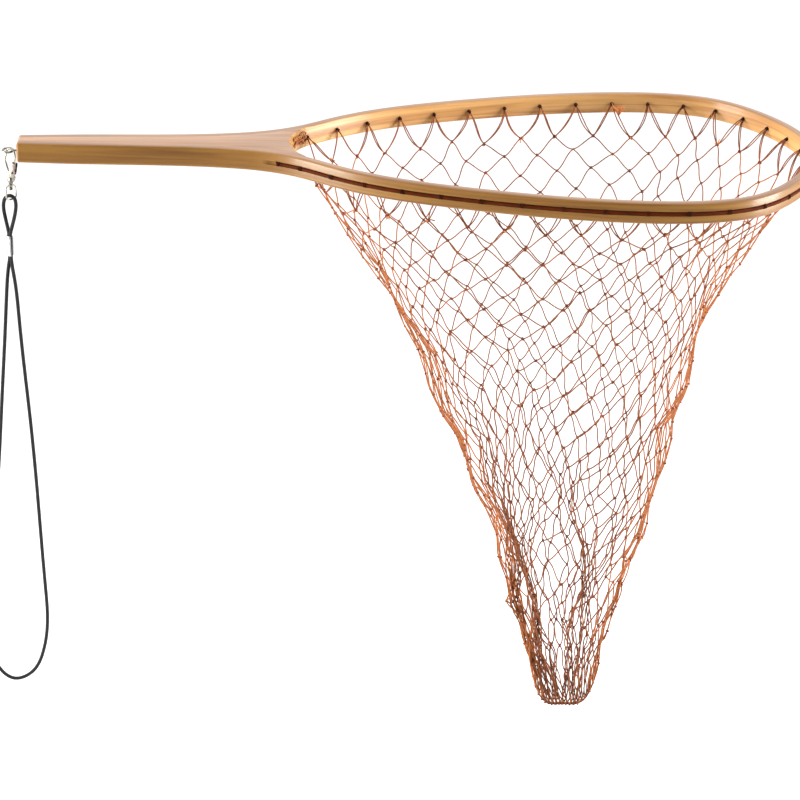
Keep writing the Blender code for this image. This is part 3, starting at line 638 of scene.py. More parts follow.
def core_wood():
    """The handle's core: darker on top and below, and like the inner ply in the throat."""
    tints = ((0.88, 0.84, 0.80), (0.70, 0.62, 0.56), (0.86, 0.82, 0.78))
    shade, grain, relief = wood("core wood", Nodes.position, *tints)
    normal = shade.parts(shade.node("NewGeometry", {}).outputs["Normal"])
    level = shade.math("ABSOLUTE", normal["Z"])
    tone = shade.mix(level, [0.75 * c for c in INNER_PLY[:3]] + [1.0], CORE_TONE)
    shade.surface(shade.mix(1.0, grain, tone, "MULTIPLY"), relief, 0.00006)
    return shade


def twine(name, pale, dark, pitch=0.0016, gloss=0.04):
    """Twisted nylon twine: three strands laid round each other, dyed unevenly, with painted shade in the
    hollows between the strands.
    """
    shade = Shading(name, {"Roughness": 0.6, "Specular IOR Level": gloss})
    lay = shade.slanted(3.0, 3.0 / pitch)
    cloudy = shade.noise(shade.position(), 90.0, 3.0)
    speck = shade.noise(shade.position(), 1400.0, 2.0)
    base = shade.ramp(cloudy, ((0.35, dark), (0.65, pale)))
    # painted shade: the colour is darkened in the hollows between the strands
    hollow_shade = shade.math("MULTIPLY", shade.spread(lay, 0.55, 0.0), 0.8)
    base = shade.mix(hollow_shade, base, (*[c * 0.45 for c in dark], 1.0))
    shade.surface(shade.mix(shade.spread(speck, 0.0, 0.35), base, (*pale, 1.0)), lay, 0.00014)
    return shade


def elastic_cord():
    """A round braided cover: two families of yarns crossing over an elastic core, with painted shade between
    the yarns.
    """
    shade = Shading("elastic cord", {"Roughness": 0.62, "Specular IOR Level": 0.12})
    braid = shade.math("MAXIMUM", shade.slanted(8.0, 900.0), shade.slanted(-8.0, 900.0))
    fuzz = shade.noise(shade.position(), 900.0, 3.0)
    # painted shade: nearly black between the yarns, lighter on the yarns themselves
    base = shade.ramp(braid, ((0.2, (0.003, 0.003, 0.003)), (0.9, (0.014, 0.014, 0.015))))
    shade.surface(shade.mix(shade.spread(fuzz, 0.0, 0.3), base, (0.026, 0.026, 0.028, 1.0)), braid, 0.00018)
    return shade


def plated(name, colour, shadow, roughness):
    """Plated metal with fine tumbling marks and dull patches where it has been handled."""
    shade = Shading(name, {"Metallic": 1.0})
    patches = shade.noise(shade.position(), 260.0, 4.0)
    marks = shade.noise(shade.scaled(shade.position(), (1.0, 1.0, 0.35)), 2600.0, 3.0)
    shade.fill(shade.shader, {"Roughness": shade.spread(patches, roughness + 0.12, roughness - 0.05)})
    shade.surface(shade.ramp(patches, ((0.35, shadow), (0.6, colour))), marks, 0.00002)
    return shade


# ---- camera, floor and light


def make_camera():
    data = bpy.data.cameras.new("camera")
    data.lens = CAMERA_LENS
    data.clip_start = 0.05
    data.clip_end = 100.0
    camera = link("camera", data)
    camera.matrix_world = Matrix.Translation(CAMERA_PLACE)
    for angle, axis in ((CAMERA_AZIMUTH, "Z"), (QUARTER - CAMERA_ELEVATION, "X"), (CAMERA_ROLL, "Z")):
        camera.matrix_world = camera.matrix_world @ Matrix.Rotation(angle, 4, axis)
    bpy.context.scene.camera = camera


def make_stage():
    """A plain pale floor far below the net."""
    half = 30.0
    corners = [(-half, -half), (half, -half), (half, half), (-half, half)]
    floor = mesh_object("floor", [(x, y, FLOOR_HEIGHT) for x, y in corners], [(0, 1, 2, 3)])
    pale = Shading("floor", {"Roughness": 0.9})
    speckle = pale.noise(pale.position(), 2.0, 2.0)
    pale.surface(pale.ramp(speckle, ((0.3, 3 * (FLOOR_SHADE,)), (0.7, 3 * (1.03 * FLOOR_SHADE,)))))
    pale.wear(floor)
    bpy.context.scene.view_settings.view_transform = "Standard"


def make_surround():
    """A white surround that is bright above, behind and at both sides, and dim in front."""
    world = bpy.data.worlds.new("surround")
    world.use_nodes = True
    nodes = Nodes(world.node_tree)
    way = nodes.node("TexCoord", {}).outputs["Generated"]
    facing = nodes.node("VectorMath", {0: way, 1: (0.0, -1.0, 0.0)}, operation="DOT_PRODUCT")
    ends = (SURROUND_BRIGHT, SURROUND_DIM, FRONT_DIM_START, FRONT_DIM_END)
    strength = nodes.spread(facing.outputs["Value"], *ends, "SMOOTHSTEP")
    nodes.fill(nodes.tree.nodes["Background"], {"Color": (1.0, 1.0, 1.0, 1.0), "Strength": strength})
    bpy.context.scene.world = world


def make_light(name, place_at, target, size, power):
    data = bpy.data.lights.new(name, "AREA")
    data.shape = "SQUARE"
    data.size = size
    data.energy = power
    aim = (Vector(target) - Vector(place_at)).to_track_quat("-Z", "Y")
    link(name, data).matrix_world = Matrix.Translation(place_at) @ aim.to_matrix().to_4x4()


# ---- lanyard


def make_lanyard():
    """The elastic cord and the metal sleeve crimped on its two strands."""
    line = [place(*point) for point in smooth_curve(CORD_ROUTE, 900)]
    cord = tubes("lanyard_cord_braided", [line], CORD_RADIUS, 20)
    fit(cord, elastic_cord(), "elastic", "lanyard", "lanyard_cord")

    near = np.array(NEAR_STRAND)
    far = np.array(FAR_STRAND)
    middle = (near + far) / 2
    base = math.atan2(far[1] - near[1], far[0] - near[0])
    low = base - QUARTER
    high = base + QUARTER

    def ring(radius):
        bends = ((near, CRIMP_SEAM_START, low, 14), (far, low, high, 40), (near, high, CRIMP_SEAM_END, 26))
        return [p for centre, *span in bends for p in arc(centre - middle, radius, np.linspace(*span))]

    inner = CORD_RADIUS + CRIMP_CLEARANCE
    outline = ring(inner + CRIMP_WALL) + ring(inner)[::-1]
    crimp = flat_plate("crimp_sleeve_folded", outline, (CRIMP_TOP - CRIMP_BOTTOM) / 2, 0.00012)
    move(crimp, Matrix.Translation(place(*middle, (CRIMP_TOP + CRIMP_BOTTOM) / 2)))
    sharpen(crimp)
    shine = plated("crimp aluminium", (0.46, 0.47, 0.465), (0.34, 0.35, 0.345), 0.34)
    fit(crimp, shine, "crimp", "lanyard", "crimp_sleeve")


# ---- wood and lacing


def bow_section(inner_radius, groove):
    """The bow's cross-section as (inset, height) pairs, with the lacing groove in its outer side.

    With each pair goes its ply: how far it is the inner ply, and how far it is on the plies' edges.
    """
    half = WOOD_THICKNESS / 2
    corners = (
        (EDGE_RADIUS, EDGE_RADIUS - half, EDGE_RADIUS, math.pi),
        (BOW_WIDTH - inner_radius, inner_radius - half, inner_radius, 1.5 * math.pi),
        (BOW_WIDTH - inner_radius, half - inner_radius, inner_radius, 0.0),
        (EDGE_RADIUS, half - EDGE_RADIUS, EDGE_RADIUS, QUARTER),
    )
    section = []
    plies = []
    for inset, height, radius, start in corners:
        angles = start + np.linspace(0.0, QUARTER, 7)
        section.extend(arc((inset, height), radius, angles))
        plies.extend((float(inset > BOW_WIDTH / 2), edge) for edge in np.sin(angles) ** 2)
    hollow = arc((0.0, 0.0), GROOVE_RADIUS, np.linspace(QUARTER, -QUARTER, 13))
    lip = GROOVE_RADIUS + GROOVE_LIP
    section.extend([(0.0, lip), *(hollow * (groove, 1.0)), (0.0, -lip)])
    plies.extend([(0.0, 0.0)] * (len(section) - len(plies)))
    return section, plies


def bow_stations(rail):
    """Distances along the outer face at which the bow has a section."""
    leg_end = rail.reach(GROOVE_START - 0.01)
    leg = np.arange(0.0, leg_end, LEG_STEP)
    hoop = np.linspace(leg_end, rail.length - leg_end, int((rail.length - 2 * leg_end) / HOOP_STEP))
    return np.concatenate((leg, hoop, (rail.length - leg)[::-1]))


def bow_section_at(rail, distance):
    """The section at a distance along the outer face; the groove and the inner edge's rounding fade in."""
    into_hoop = (rail.at(distance)[0] - THROAT_BOTTOM) / (THROAT_CORNER - THROAT_BOTTOM)
    radius = SQUARE_EDGE_RADIUS + np.clip(into_hoop, 0, 1) * (INNER_EDGE_RADIUS - SQUARE_EDGE_RADIUS)
    into_groove = min(distance, rail.length - distance) - rail.reach(GROOVE_START)
    return bow_section(radius, math.sqrt(np.clip(into_groove / GROOVE_RUN, 0, 1)))


def make_bow(rail):
    """The bent strip, with the lacing groove and the lacing holes."""
    stations = bow_stations(rail)
    vertices = []
    for distance in stations:
        section, plies = bow_section_at(rail, distance)
        vertices.extend(place(*rail.at(distance, inset), height) for inset, height in section)
    butt = bow_section_at(rail, 0.0)[0]
    around = run_along(butt + butt[:1])
    count = len(section)
    quads, i, k = quads_between(len(stations), count)
    along = stations[np.stack((i, i, i + 1, i + 1), axis=1)]
    over = around[np.stack((k, k + 1, k + 1, k), axis=1)]
    caps = np.zeros((2 * count, 2))
    faces = quads.tolist() + [range(count)[::-1], range(len(vertices) - count, len(vertices))]
    uvs = np.concatenate((np.stack((along, over), axis=2).reshape(-1, 2), caps))
    bow = mesh_object("hoop_bow_varnished", vertices, faces, uvs)
    layer = bow.data.uv_layers.new(name="Plies")
    tones = np.concatenate((np.array(plies)[quads % count].reshape(-1, 2), caps))
    layer.data.foreach_set("uv", tones.astype(np.float32).ravel())
    carve(bow, lacing_hole_cutter(rail))
    carve(bow, butt_cutter())
    sharpen(bow, 40)
    fit(bow, bow_wood(), "bow_wood", "frame", "hoop_bow")


def lacing_hole_cutter(rail):
    ends = (-0.002, BOW_WIDTH + 0.002)
    lines = [[place(*rail.at(distance, inset), 0.0) for inset in ends] for distance in rail.holes()]
    return tubes("lacing_hole_cutter", lines, HOLE_RADIUS, 16)


def butt_cutter():
    """A cutter that squares the wood off at the butt and rounds the edges of its end face."""
    low = place(0.0, -BUTT_HALF_WIDTH, -BUTT_HALF_HEIGHT)
    rounded = box_object("butt_bar", low, place(0.030, BUTT_HALF_WIDTH, BUTT_HALF_HEIGHT), BUTT_ROUNDING)
    cutter = box_object("butt_trim", place(-0.012, -0.02, -0.014), place(0.0048, 0.02, 0.014))
    carve(cutter, rounded)
    return cutter


def throat_arc(rail):
    """The radius of the throat's hollow and half the angle that it spans."""
    inset = BOW_WIDTH + GLUE_LINE
    corner_x, corner_y = rail.at(rail.reach(THROAT_CORNER, inset), inset)
    rise = corner_x - THROAT_BOTTOM
    radius = (corner_y ** 2 + rise ** 2) / (2 * rise)
    return radius, math.asin(-corner_y / radius)


def make_core(rail):
    """The block between the legs, glued to them, with a softened hollow at the throat."""
    inset = BOW_WIDTH + GLUE_LINE
    end = rail.reach(THROAT_CORNER, inset)
    side = [tuple(rail.at(d, inset)) for d in (*np.arange(0.0, end - 0.001, 0.004), end)]
    radius, reach = throat_arc(rail)
    throat = arc((THROAT_BOTTOM + radius, 0.0), radius, math.pi - np.linspace(-reach, reach, 49)[1:-1])
    outline = side + throat.tolist() + [(x, -y) for x, y in reversed(side)]
    core = flat_plate("handle_core_varnished", outline, WOOD_THICKNESS / 2, CORE_EDGE)
    move(core, matrix_at((0.0, 0.0, 0.0)))
    pilot = [place(-0.002, 0.0, -RING_DROP), place(PILOT_DEPTH, 0.0, -RING_DROP)]
    carve(core, tubes("pilot_cutter", [pilot], PILOT_RADIUS, 24))
    carve(core, butt_cutter())
    sharpen(core, 40)
    fit(core, core_wood(), "core_wood", "frame", "handle_core")


def helix(centre, axis, radius, turns, rise, count, start=0.0):
    """A coil round an axis through the centre."""
    axis = unit(np.asarray(axis, dtype=float))
    side = unit(np.cross(axis, (0.0, 0.0, 1.0)))
    up = np.cross(side, axis)
    share = np.linspace(0.0, 1.0, count)
    angle = start + TURN * turns * share
    ring = np.cos(angle)[:, None] * side + np.sin(angle)[:, None] * up
    return centre + radius * ring + ((share - 0.5) * rise)[:, None] * axis


def make_lacing(rail):
    """The twisted cord in the groove, and the hitches that hold the netting to it at the holes."""
    start = rail.reach(LACING_START)
    run = np.linspace(start, rail.length - start, 760)
    draw = np.random.default_rng(11)
    sway = np.interp(run, np.linspace(start, rail.length - start, 120), draw.normal(0, 0.00008, 120))
    line = [place(*rail.at(d, LACING_INSET), s) for d, s in zip(run, sway)]
    cord = tubes("lacing_cord_twisted", [line], LACING_RADIUS, 12)
    hitches = []
    for distance in (start, *rail.holes(), rail.length - start):
        middle = place(*rail.at(distance, LACING_INSET), 0.0)
        axis = place(*rail.at(distance + 0.001, LACING_INSET), 0.0) - middle
        spin = draw.uniform(0, TURN)
        hitches.append(helix(middle, axis, LACING_RADIUS + 0.00022, 2.6, 0.0028, 60, spin))
        offset = unit(axis) * draw.uniform(-0.0006, 0.0006)
        outward = -rail.across(distance)
        bump = middle + offset + outward * LACING_RADIUS
        hitches.append(helix(bump, np.cross(axis, outward), 0.0007, 1.6, 0.0013, 28, spin))
    ties = tubes("lacing_hitches", hitches, 0.00048, 8)
    red = twine("lacing twine", (0.088, 0.012, 0.0008), (0.042, 0.006, 0.0004), 0.0034)
    fit(cord, red, "lacing", "frame", "lacing_cord")
    dark = twine("hitch twine", (0.056, 0.010, 0.0015), (0.026, 0.005, 0.0008))
    fit(ties, dark, "lacing", "frame")


# ---- netting


def row_above(row, side, columns):
    """For each knot of a row, the column of the knot above it on its left, side 0, or its right, side 1."""
    first = 0 if row == 1 or row % 2 == 0 else -1
    return (np.arange(columns) + first + side) % columns


def bag_section(depth):
    bag = np.array(BAG)
    near = np.interp(depth, bag[:, 0], bag[:, 1])
    far = np.interp(depth, bag[:, 0], bag[:, 2])
    return (near + far) / 2, (far - near) / 2, np.interp(depth, bag[:, 0], bag[:, 3])


def hung_knots(holes, draw):
    """Where the knots start: each row on the bag's section at its depth, below the gaps of the row above."""
    columns = len(holes) + 1
    ring = np.concatenate((holes, [[BAG_THROAT, 0.0, -0.012]]))
    knots = np.zeros((ROWS + 1, columns, 3))
    knots[0] = ring
    for row in range(1, ROWS + 1):
        column = np.arange(columns) + (0.5 if row % 2 else 1.0)
        left = np.floor(column).astype(int) % columns
        share = (column % 1)[:, None]
        above = (1 - share) * ring[left] + share * ring[(left + 1) % columns]
        across = (above[:, 0] - BAG_CENTRE) / BAG_HALF_LENGTH
        beside = above[:, 1] / BAG_HALF_WIDTH
        around = np.arctan2(above[:, 1] / (0.98 * BAG_HALF_WIDTH), across)
        depth = BAG_DEPTH * row / ROWS
        centre, half_length, half_width = bag_section(depth)
        rounded = min(depth / BAG_ROUND_DEPTH, 1.0)
        x = centre + half_length * ((1 - rounded) * across + rounded * np.cos(around))
        y = half_width * ((1 - rounded) * beside + rounded * np.sin(around))
        knots[row] = np.stack((x, y, np.full(columns, -depth)), axis=1)
    knots[1:] += draw.normal(0, 0.0012, knots[1:].shape)
    return knots


def guide_row(knots):
    """Draws a row softly to the bag's section, with uneven folds, and gathers it lower down into a pleat."""
    depth = -knots[:, 2]
    centre, half_length, half_width = bag_section(depth)
    x = (knots[:, 0] - centre) / half_length
    y = knots[:, 1] / half_width
    reach = np.hypot(x, y) + 1e-6
    around = np.arctan2(y, x)
    fold = 1 + 0.05 * np.sin(3 * around + 90 * depth) * np.clip((depth - 0.1) / 0.1, 0, 1)
    fold += 0.03 * np.sin(7 * around - 50 * depth)
    side = (SAG_ANGLE - around + math.pi) % TURN - math.pi
    fold += 0.45 * np.exp(-((depth - SAG_DEPTH) / 0.014) ** 2 - (side / 0.6) ** 2)
    free = np.clip((depth - 0.03) / 0.06, 0, 1)
    draw_in = free * (fold / reach - 1) * np.where(reach > fold, 0.8, 0.06)
    knots[:, 0] += (knots[:, 0] - centre) * draw_in
    knots[:, 1] += knots[:, 1] * draw_in
    away = (FOLD_ANGLE - around + math.pi) % TURN - math.pi
    pleat = PLEAT * np.clip((depth - FOLD_DEPTH) / 0.12, 0, 1) * np.clip((0.46 - depth) / 0.04, 0, 1)
    pull = np.where(np.abs(away) < 1.5, away * np.exp(-(away / 0.8) ** 2), 0) * pleat
    pull += BUNCH * np.sin(5 * around + 30 * depth) * np.clip((depth - BUNCH_DEPTH) / 0.1, 0, 1)
    knots[:, 0] -= np.sin(around) * pull * half_length * reach
    knots[:, 1] += np.cos(around) * pull * half_width * reach


def seam_height(x):
    """Height of the curved seam along the bottom of the bag."""
    across = np.clip((x - SEAM_CENTRE) / SEAM_HALF_LENGTH, -1.1, 1.1)
    return -BAG_DEPTH + SEAM_RISE * across ** 4


def lift_row(knots):
    """Keeps a row above the curved seam along the bottom."""
    knots[:, 2] = np.maximum(knots[:, 2], seam_height(knots[:, 0]) + 0.001)


def part_row(knots):
    """Keeps neighbouring knots of one row apart."""
    gap = np.roll(knots, -1, axis=0) - knots
    width = np.linalg.norm(gap, axis=1) + 1e-9
    short = np.maximum(KNOT_GAP - width, 0) * 0.5 + np.maximum(0.9 * BAR_LENGTH - width, 0) * 0.02
    push = gap / width[:, None] * (0.5 * short)[:, None]
    knots -= push
    knots += np.roll(push, 1, axis=0)


def pull_row(knots, bars, row):
    """Draws together the ends of the bars above a row that are longer than their twine."""
    columns = knots.shape[1]
    for side in (0, 1):
        above = row_above(row, side, columns)
        bar = knots[row] - knots[row - 1][above]
        length = np.linalg.norm(bar, axis=1) + 1e-9
        excess = np.maximum(length - bars[row, :, side], 0)
        if row == 1:
            excess[above == columns - 1] = 0
        pull = bar / length[:, None] * excess[:, None]
        knots[row] -= (1.0 if row == 1 else LOWER_SHARE) * pull
        if row > 1:
            knots[row - 1][above] += (1 - LOWER_SHARE) * pull
    if row == 1:
        loop = knots[1, -1] - knots[1, -2]
        width = np.linalg.norm(loop)
        slack = loop / width * max(width - 1.85 * BAR_LENGTH, 0)
        knots[1, -2] += 0.5 * slack
        knots[1, -1] -= 0.5 * slack


def hang_net(holes):
    """Lets the knotted netting hang: bars that can't stretch, its own weight and a seam along the bottom."""
    draw = np.random.default_rng(4)
    knots = hung_knots(holes, draw)
    columns = knots.shape[1]
    bars = BAR_LENGTH * (1 + draw.normal(0, 0.05, (ROWS + 1, columns, 2)))
    bars[1] *= TOP_LEG_LENGTH / BAR_LENGTH * (1 + draw.normal(0, 0.05, (columns, 2)))
    column = np.arange(columns) + (0.5 if ROWS % 2 else 1.0)
    half_ring = columns / 2
    from_tip = (column - TIP_COLUMN + half_ring) % columns - half_ring
    seam_x = SEAM_CENTRE + SEAM_HALF_LENGTH * (1 - 2 * np.abs(from_tip) / half_ring)
    seam = np.stack((seam_x, 0.0008 * np.sign(from_tip), seam_height(seam_x)), axis=1)
    for turn in range(RELAX_ROUNDS):
        settled = turn >= 0.75 * RELAX_ROUNDS
        knots[1:, :, 2] -= FALL_STEP * (0.25 if turn < 80 else 1.0) * (0.3 if settled else 1.0)
        for row in range(1, ROWS + 1):
            if row < ROWS - 1:
                guide_row(knots[row])
            part_row(knots[row])
            if row > ROWS - 4:
                lift_row(knots[row])
        for row in list(range(1, ROWS + 1)) * 2:
            pull_row(knots, bars, row)
        hold = 0.12 if turn < 0.5 * RELAX_ROUNDS else 0.9
        knots[ROWS] += hold * (seam - knots[ROWS])
    loose = knots[LOOSE_ROW:ROWS]
    loose += draw.normal(0, 1.0, loose.shape) * LOOSE_SPREAD
    return knots


def strand(start, end, start_way, end_way, steps, sag):
    """A bar of twine between two knots, which leaves each of them in its own direction."""
    reach = max(np.linalg.norm(end - start), BAR_LENGTH)
    u = np.linspace(0.0, 1.0, steps + 1)[:, None]
    line = (2 * u ** 3 - 3 * u ** 2 + 1) * start + (u ** 3 - 2 * u ** 2 + u) * reach * start_way
    line = line + (3 * u ** 2 - 2 * u ** 3) * end + (u ** 3 - u ** 2) * reach * end_way
    line[:, 2] -= sag * (4 * u * (1 - u))[:, 0]
    return line


def along_row(knots, row):
    return unit(np.roll(knots[row], -1, axis=0) - np.roll(knots[row], 1, axis=0))


def doubled_bar(start, end, out_way, end_way, here, sag, draw):
    """The two plies of twine from a lacing hole to a knot of the first row."""
    lean = draw.normal(0, 0.0012)
    apart = draw.uniform(0.0004, 0.0013)
    start_way = unit(unit(end - start) + 0.8 * out_way)
    plies = []
    for ply in (-1, 1):
        line = strand(start, end, start_way, end_way, 11, sag)
        bow = np.sin(np.linspace(0, math.pi, len(line)))[:, None]
        line = line + bow * ((lean + ply * apart) * here + 0.0003 * ply * out_way)
        line[:3, 2] += ply * PLY_STEP
        plies.append(np.concatenate(([start - 0.005 * out_way + (0.0, 0.0, ply * PLY_STEP)], line)))
    return plies


def seam_lines(knots):
    """The two lines of twine that lace the bottom row together."""
    order = np.argsort(knots[ROWS, :, 0])
    lines = []
    for offset in (-0.0005, 0.0005):
        line = knots[ROWS, order] + np.array((0.0, offset, -0.0003))
        line[:, 1] = offset * np.where(np.arange(len(order)) % 2, 1.0, -1.0)
        lines.append(smooth_curve(line[::2], 120))
    return lines


def net_bars(knots, rail, draw):
    """Centrelines of the netting's bars; the ones below the hoop are doubled and come out of the holes."""
    columns = knots.shape[1]
    doubled = []
    single = []
    for row in range(1, ROWS + 1):
        here = along_row(knots, row)
        upper = along_row(knots, row - 1)
        for side, outward in ((0, 0.5), (1, -0.5)):
            above = row_above(row, side, columns)
            for k in range(columns):
                if row == 1 and above[k] == columns - 1:
                    continue
                start = knots[row - 1][above[k]]
                end = knots[row][k]
                way = unit(end - start)
                end_way = unit(way + outward * here[k])
                sag = 0.125 * math.sqrt(max(BAR_LENGTH ** 2 - np.sum((end - start) ** 2), 0.0))
                if row == 1:
                    out_way = rail.across(rail.holes()[above[k]])
                    doubled.extend(doubled_bar(start, end, out_way, end_way, here[k], sag, draw))
                else:
                    start_way = unit(way + outward * upper[above[k]])
                    single.append(strand(start, end, start_way, end_way, 9, sag * draw.uniform(0.6, 1.5)))
    single.extend(seam_lines(knots))
    side = np.sign(knots[1, -1, 1] - knots[1, -2, 1])
    ways = [unit(side * np.array((0.0, 0.6, rise))) for rise in (-1.0, 1.0)]
    single.append(strand(knots[1, -2], knots[1, -1], *ways, 14, 0.002))
    return doubled, single


def knot_line(centre, size, draw):
    """A closed line that crosses itself three times, like a pulled-tight knot, turned at random."""
    t = np.linspace(0.0, TURN, 19)[:-1]
    x = np.sin(t) + 2 * np.sin(2 * t)
    y = np.cos(t) - 2 * np.cos(2 * t)
    z = -1.1 * np.sin(3 * t)
    turn = np.linalg.qr(draw.normal(size=(3, 3)))[0]
    return centre + size * np.stack((x, y, z), axis=1) @ turn


def loose_end(start, way, length, draw):
    """A short stiff end of twine that curls away from a knot."""
    count = 9
    steps = np.zeros((count, 3))
    heading = unit(np.array(way, dtype=float))
    for i in range(1, count):
        heading = unit(heading + draw.normal(0, 0.22, 3))
        steps[i] = steps[i - 1] + heading * length / (count - 1)
    return smooth_curve(start + steps, 20)


def loose_ends(knots, holes, draw):
    """The ends left at mended meshes and the tuft at one hole."""
    lines = []
    for k in range(0, len(knots[1]) - 1):
        if draw.uniform() < 0.35:
            for _ in range(2):
                way = (draw.normal(0, 0.7), draw.normal(0, 0.7), draw.uniform(-0.3, 0.5))
                lines.append(loose_end(knots[1, k], way, draw.uniform(0.0025, 0.0050), draw))
    tie = 0.65 * holes[TUFT_HOLE] + 0.35 * knots[1, TUFT_HOLE - 1]
    for _ in range(9):
        way = (draw.uniform(-0.35, 0.30), draw.uniform(-0.2, 0.0), 1.0)
        lines.append(loose_end(tie, way, draw.uniform(0.006, 0.012), draw))
    return lines


def throat_tangle(rail, draw):
    """The end of the twine, left tangled against the throat beside the last hole."""
    radius, reach = throat_arc(rail)
    lines = []
    for layer in range(3):
        run = [(*rail.at(rail.holes()[-1], BOW_WIDTH + 0.0006), -0.0002)]
        for _ in range(6):
            angle = reach * draw.uniform(0.42, 0.98)
            out = radius - 0.0006 - 0.0003 * layer
            x = THROAT_BOTTOM + radius - out * math.cos(angle)
            run.append((x, out * math.sin(angle), draw.uniform(-0.0045, 0.0045)))
        lines.append(smooth_curve(run, 90))
    return lines


def bar_tubes(name, lines):
    """The single bars in one object. The twine swells a little where the bag hangs slack."""
    taut = [line for line in lines if line[len(line) // 2][2] >= -SLACK_DEPTH]
    slack = [line for line in lines if line[len(line) // 2][2] < -SLACK_DEPTH]
    return join([tubes("taut", taut, TWINE_RADIUS), tubes("slack", slack, SLACK_RADIUS)], name)


def at_bag_end(line):
    """Whether a bar lies at the bag's end towards the handle or the tip, where its twine gets a brighter
    colour: painted light from the sides.
    """
    middle = line[len(line) // 2]
    centre, half_length, _ = bag_section(-middle[2])
    return abs(middle[0] - centre) > 0.82 * half_length


def make_knots(knots, middle, draw):
    lumps = []
    for row in range(1, ROWS + 1):
        for knot in knots[row]:
            size = KNOT_SIZE * draw.uniform(0.85, 1.2) * (1.35 if row == 1 else 1.0)
            lumps.append(knot_line(knot + middle, size, draw))
    return tubes("net_knots", lumps, TWINE_RADIUS, 5, closed=True)


def make_hole_knots(rail, holes, middle, draw):
    """Two knots against the inner face at each hole."""
    stops = []
    for hole, distance in zip(holes, rail.holes()):
        for inset, size in ((0.0007, 1.2), (0.0011, 1.05)):
            centre = hole + inset * rail.across(distance) + (0.0, 0.0, -0.0005) + middle
            stops.append(knot_line(centre, size * KNOT_SIZE, draw))
    return tubes("net_hole_knots", stops, TWINE_RADIUS * 1.2, 7, closed=True)


def make_netting(rail):
    """The knotted net bag: bars, knots, doubled loops through the holes and the loose ends of the twine."""
    holes = np.array([[*rail.at(distance, BOW_WIDTH), 0.0] for distance in rail.holes()])
    knots = hang_net(holes)
    draw = np.random.default_rng(23)
    middle = place(0.0, 0.0, 0.0)
    doubled, single = net_bars(knots, rail, draw)
    single.extend(throat_tangle(rail, draw))
    # the bars at the bag's ends are kept apart for their brighter twine, painted light from the sides
    sides = [line + middle for line in single if not at_bag_end(line)]
    ends = [line + middle for line in single if at_bag_end(line)]
    loops = tubes("net_top_loops", [line + middle for line in doubled], TWINE_RADIUS * 0.95, 7)
    bars = bar_tubes("net_bars", sides)
    end_bars = bar_tubes("net_end_bars_painted_lit", ends)
    tied = make_knots(knots, middle, draw)
    stopped = make_hole_knots(rail, holes, middle, draw)
    curls = [line + middle for line in loose_ends(knots, holes, draw)]
    loose = tubes("net_loose_ends", curls, 0.00045, 7)
    for item, gloss, name, pale, dark in (
        (loose, 0.15, "loose twine", (0.70, 0.25, 0.075), (0.46, 0.13, 0.040)),
        (bars, 0.15, "net twine", (0.29, 0.094, 0.033), (0.130, 0.041, 0.015)),
        # painted light: a brighter copy of the net twine for the bars at the bag's ends
        (end_bars, 0.15, "end twine painted lit", (0.42, 0.135, 0.038), (0.22, 0.065, 0.018)),
        (loops, 0.15, "loop twine", (0.28, 0.088, 0.032), (0.14, 0.042, 0.016)),
        (tied, 0.15, "knot twine", (0.25, 0.062, 0.024), (0.125, 0.030, 0.011)),
        (stopped, 0.04, "hole knot twine", (0.045, 0.013, 0.006), (0.022, 0.007, 0.004)),
    ):
        fit(item, twine(name, pale, dark, gloss=gloss), "twine", "frame")
    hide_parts("net_bag")


def make_screw_eye():
    """The wire eye, its end not quite closed on the shank that is screwed into the butt."""
    ring = arc((0.0, 0.0), RING_RADIUS, np.linspace(0.0, TURN, 73)[:-1])
    eye = tubes("screw_eye_wire", [flat_line(ring)], EYE_WIRE_RADIUS, 18, closed=True)
    move(eye, matrix_at((-RING_CENTRE, 0.0, -RING_DROP), (RING_TILT, "X")))
    start = place(RING_RADIUS - RING_CENTRE - 0.0002, 0.0, -RING_DROP)
    end = place(SHANK_END, 0.0, -RING_DROP)
    shank = tubes("screw_eye_shank", [np.linspace(start, end, 12)], SHANK_RADIUS, 18)
    run = np.arange(0.0006, SHANK_END - 0.001, 0.0001)
    turns = arc((0.0, -RING_DROP), SHANK_RADIUS, TURN * run / THREAD_PITCH)
    ridge = tubes("screw_eye_thread", [[place(x, y, z) for x, (y, z) in zip(run, turns)]], 0.00012)
    return join([eye, shank, ridge], "screw_eye_threaded")


def make_snap_body(plane):
    """Hook wire, flat plate and swivel boss."""
    nose = CROWN_CENTRE[0] + CROWN_RADIUS
    crown = arc(CROWN_CENTRE, CROWN_RADIUS, np.linspace(0.0, math.pi, 7))
    route = [(nose, NOSE_END), (nose, (NOSE_END + CROWN_CENTRE[1]) / 2), *crown, *HOOK_SHAFT]
    line = smooth_curve(route, 110)
    hook = tubes("hook_wire", [flat_line(line)], HOOK_WIRE_RADIUS, 18)
    outline = smooth_curve(PLATE_OUTLINE + PLATE_OUTLINE[:1], 145)[:-1]
    plate = flat_plate("snap_plate", outline, PLATE_HALF_THICKNESS, 0.00025)
    profile = [(0.0, BOSS_BOTTOM)]
    for inward, up in ((0.0004, 0.0), (0.0002, 0.0001), (0.0, 0.0004)):
        profile.append((BOSS_RADIUS - inward, BOSS_BOTTOM + up))
    for inward, down in ((0.0, 0.0005), (0.0001, 0.0002), (0.0004, 0.0)):
        profile.append((BOSS_RADIUS - inward, BOSS_TOP - down))
    profile.append((0.0, BOSS_TOP))
    boss = move(turned("swivel_boss", profile), Matrix.Rotation(-QUARTER, 4, "X"))
    return move(join([plate, hook, boss], "snap_body_plated"), plane)


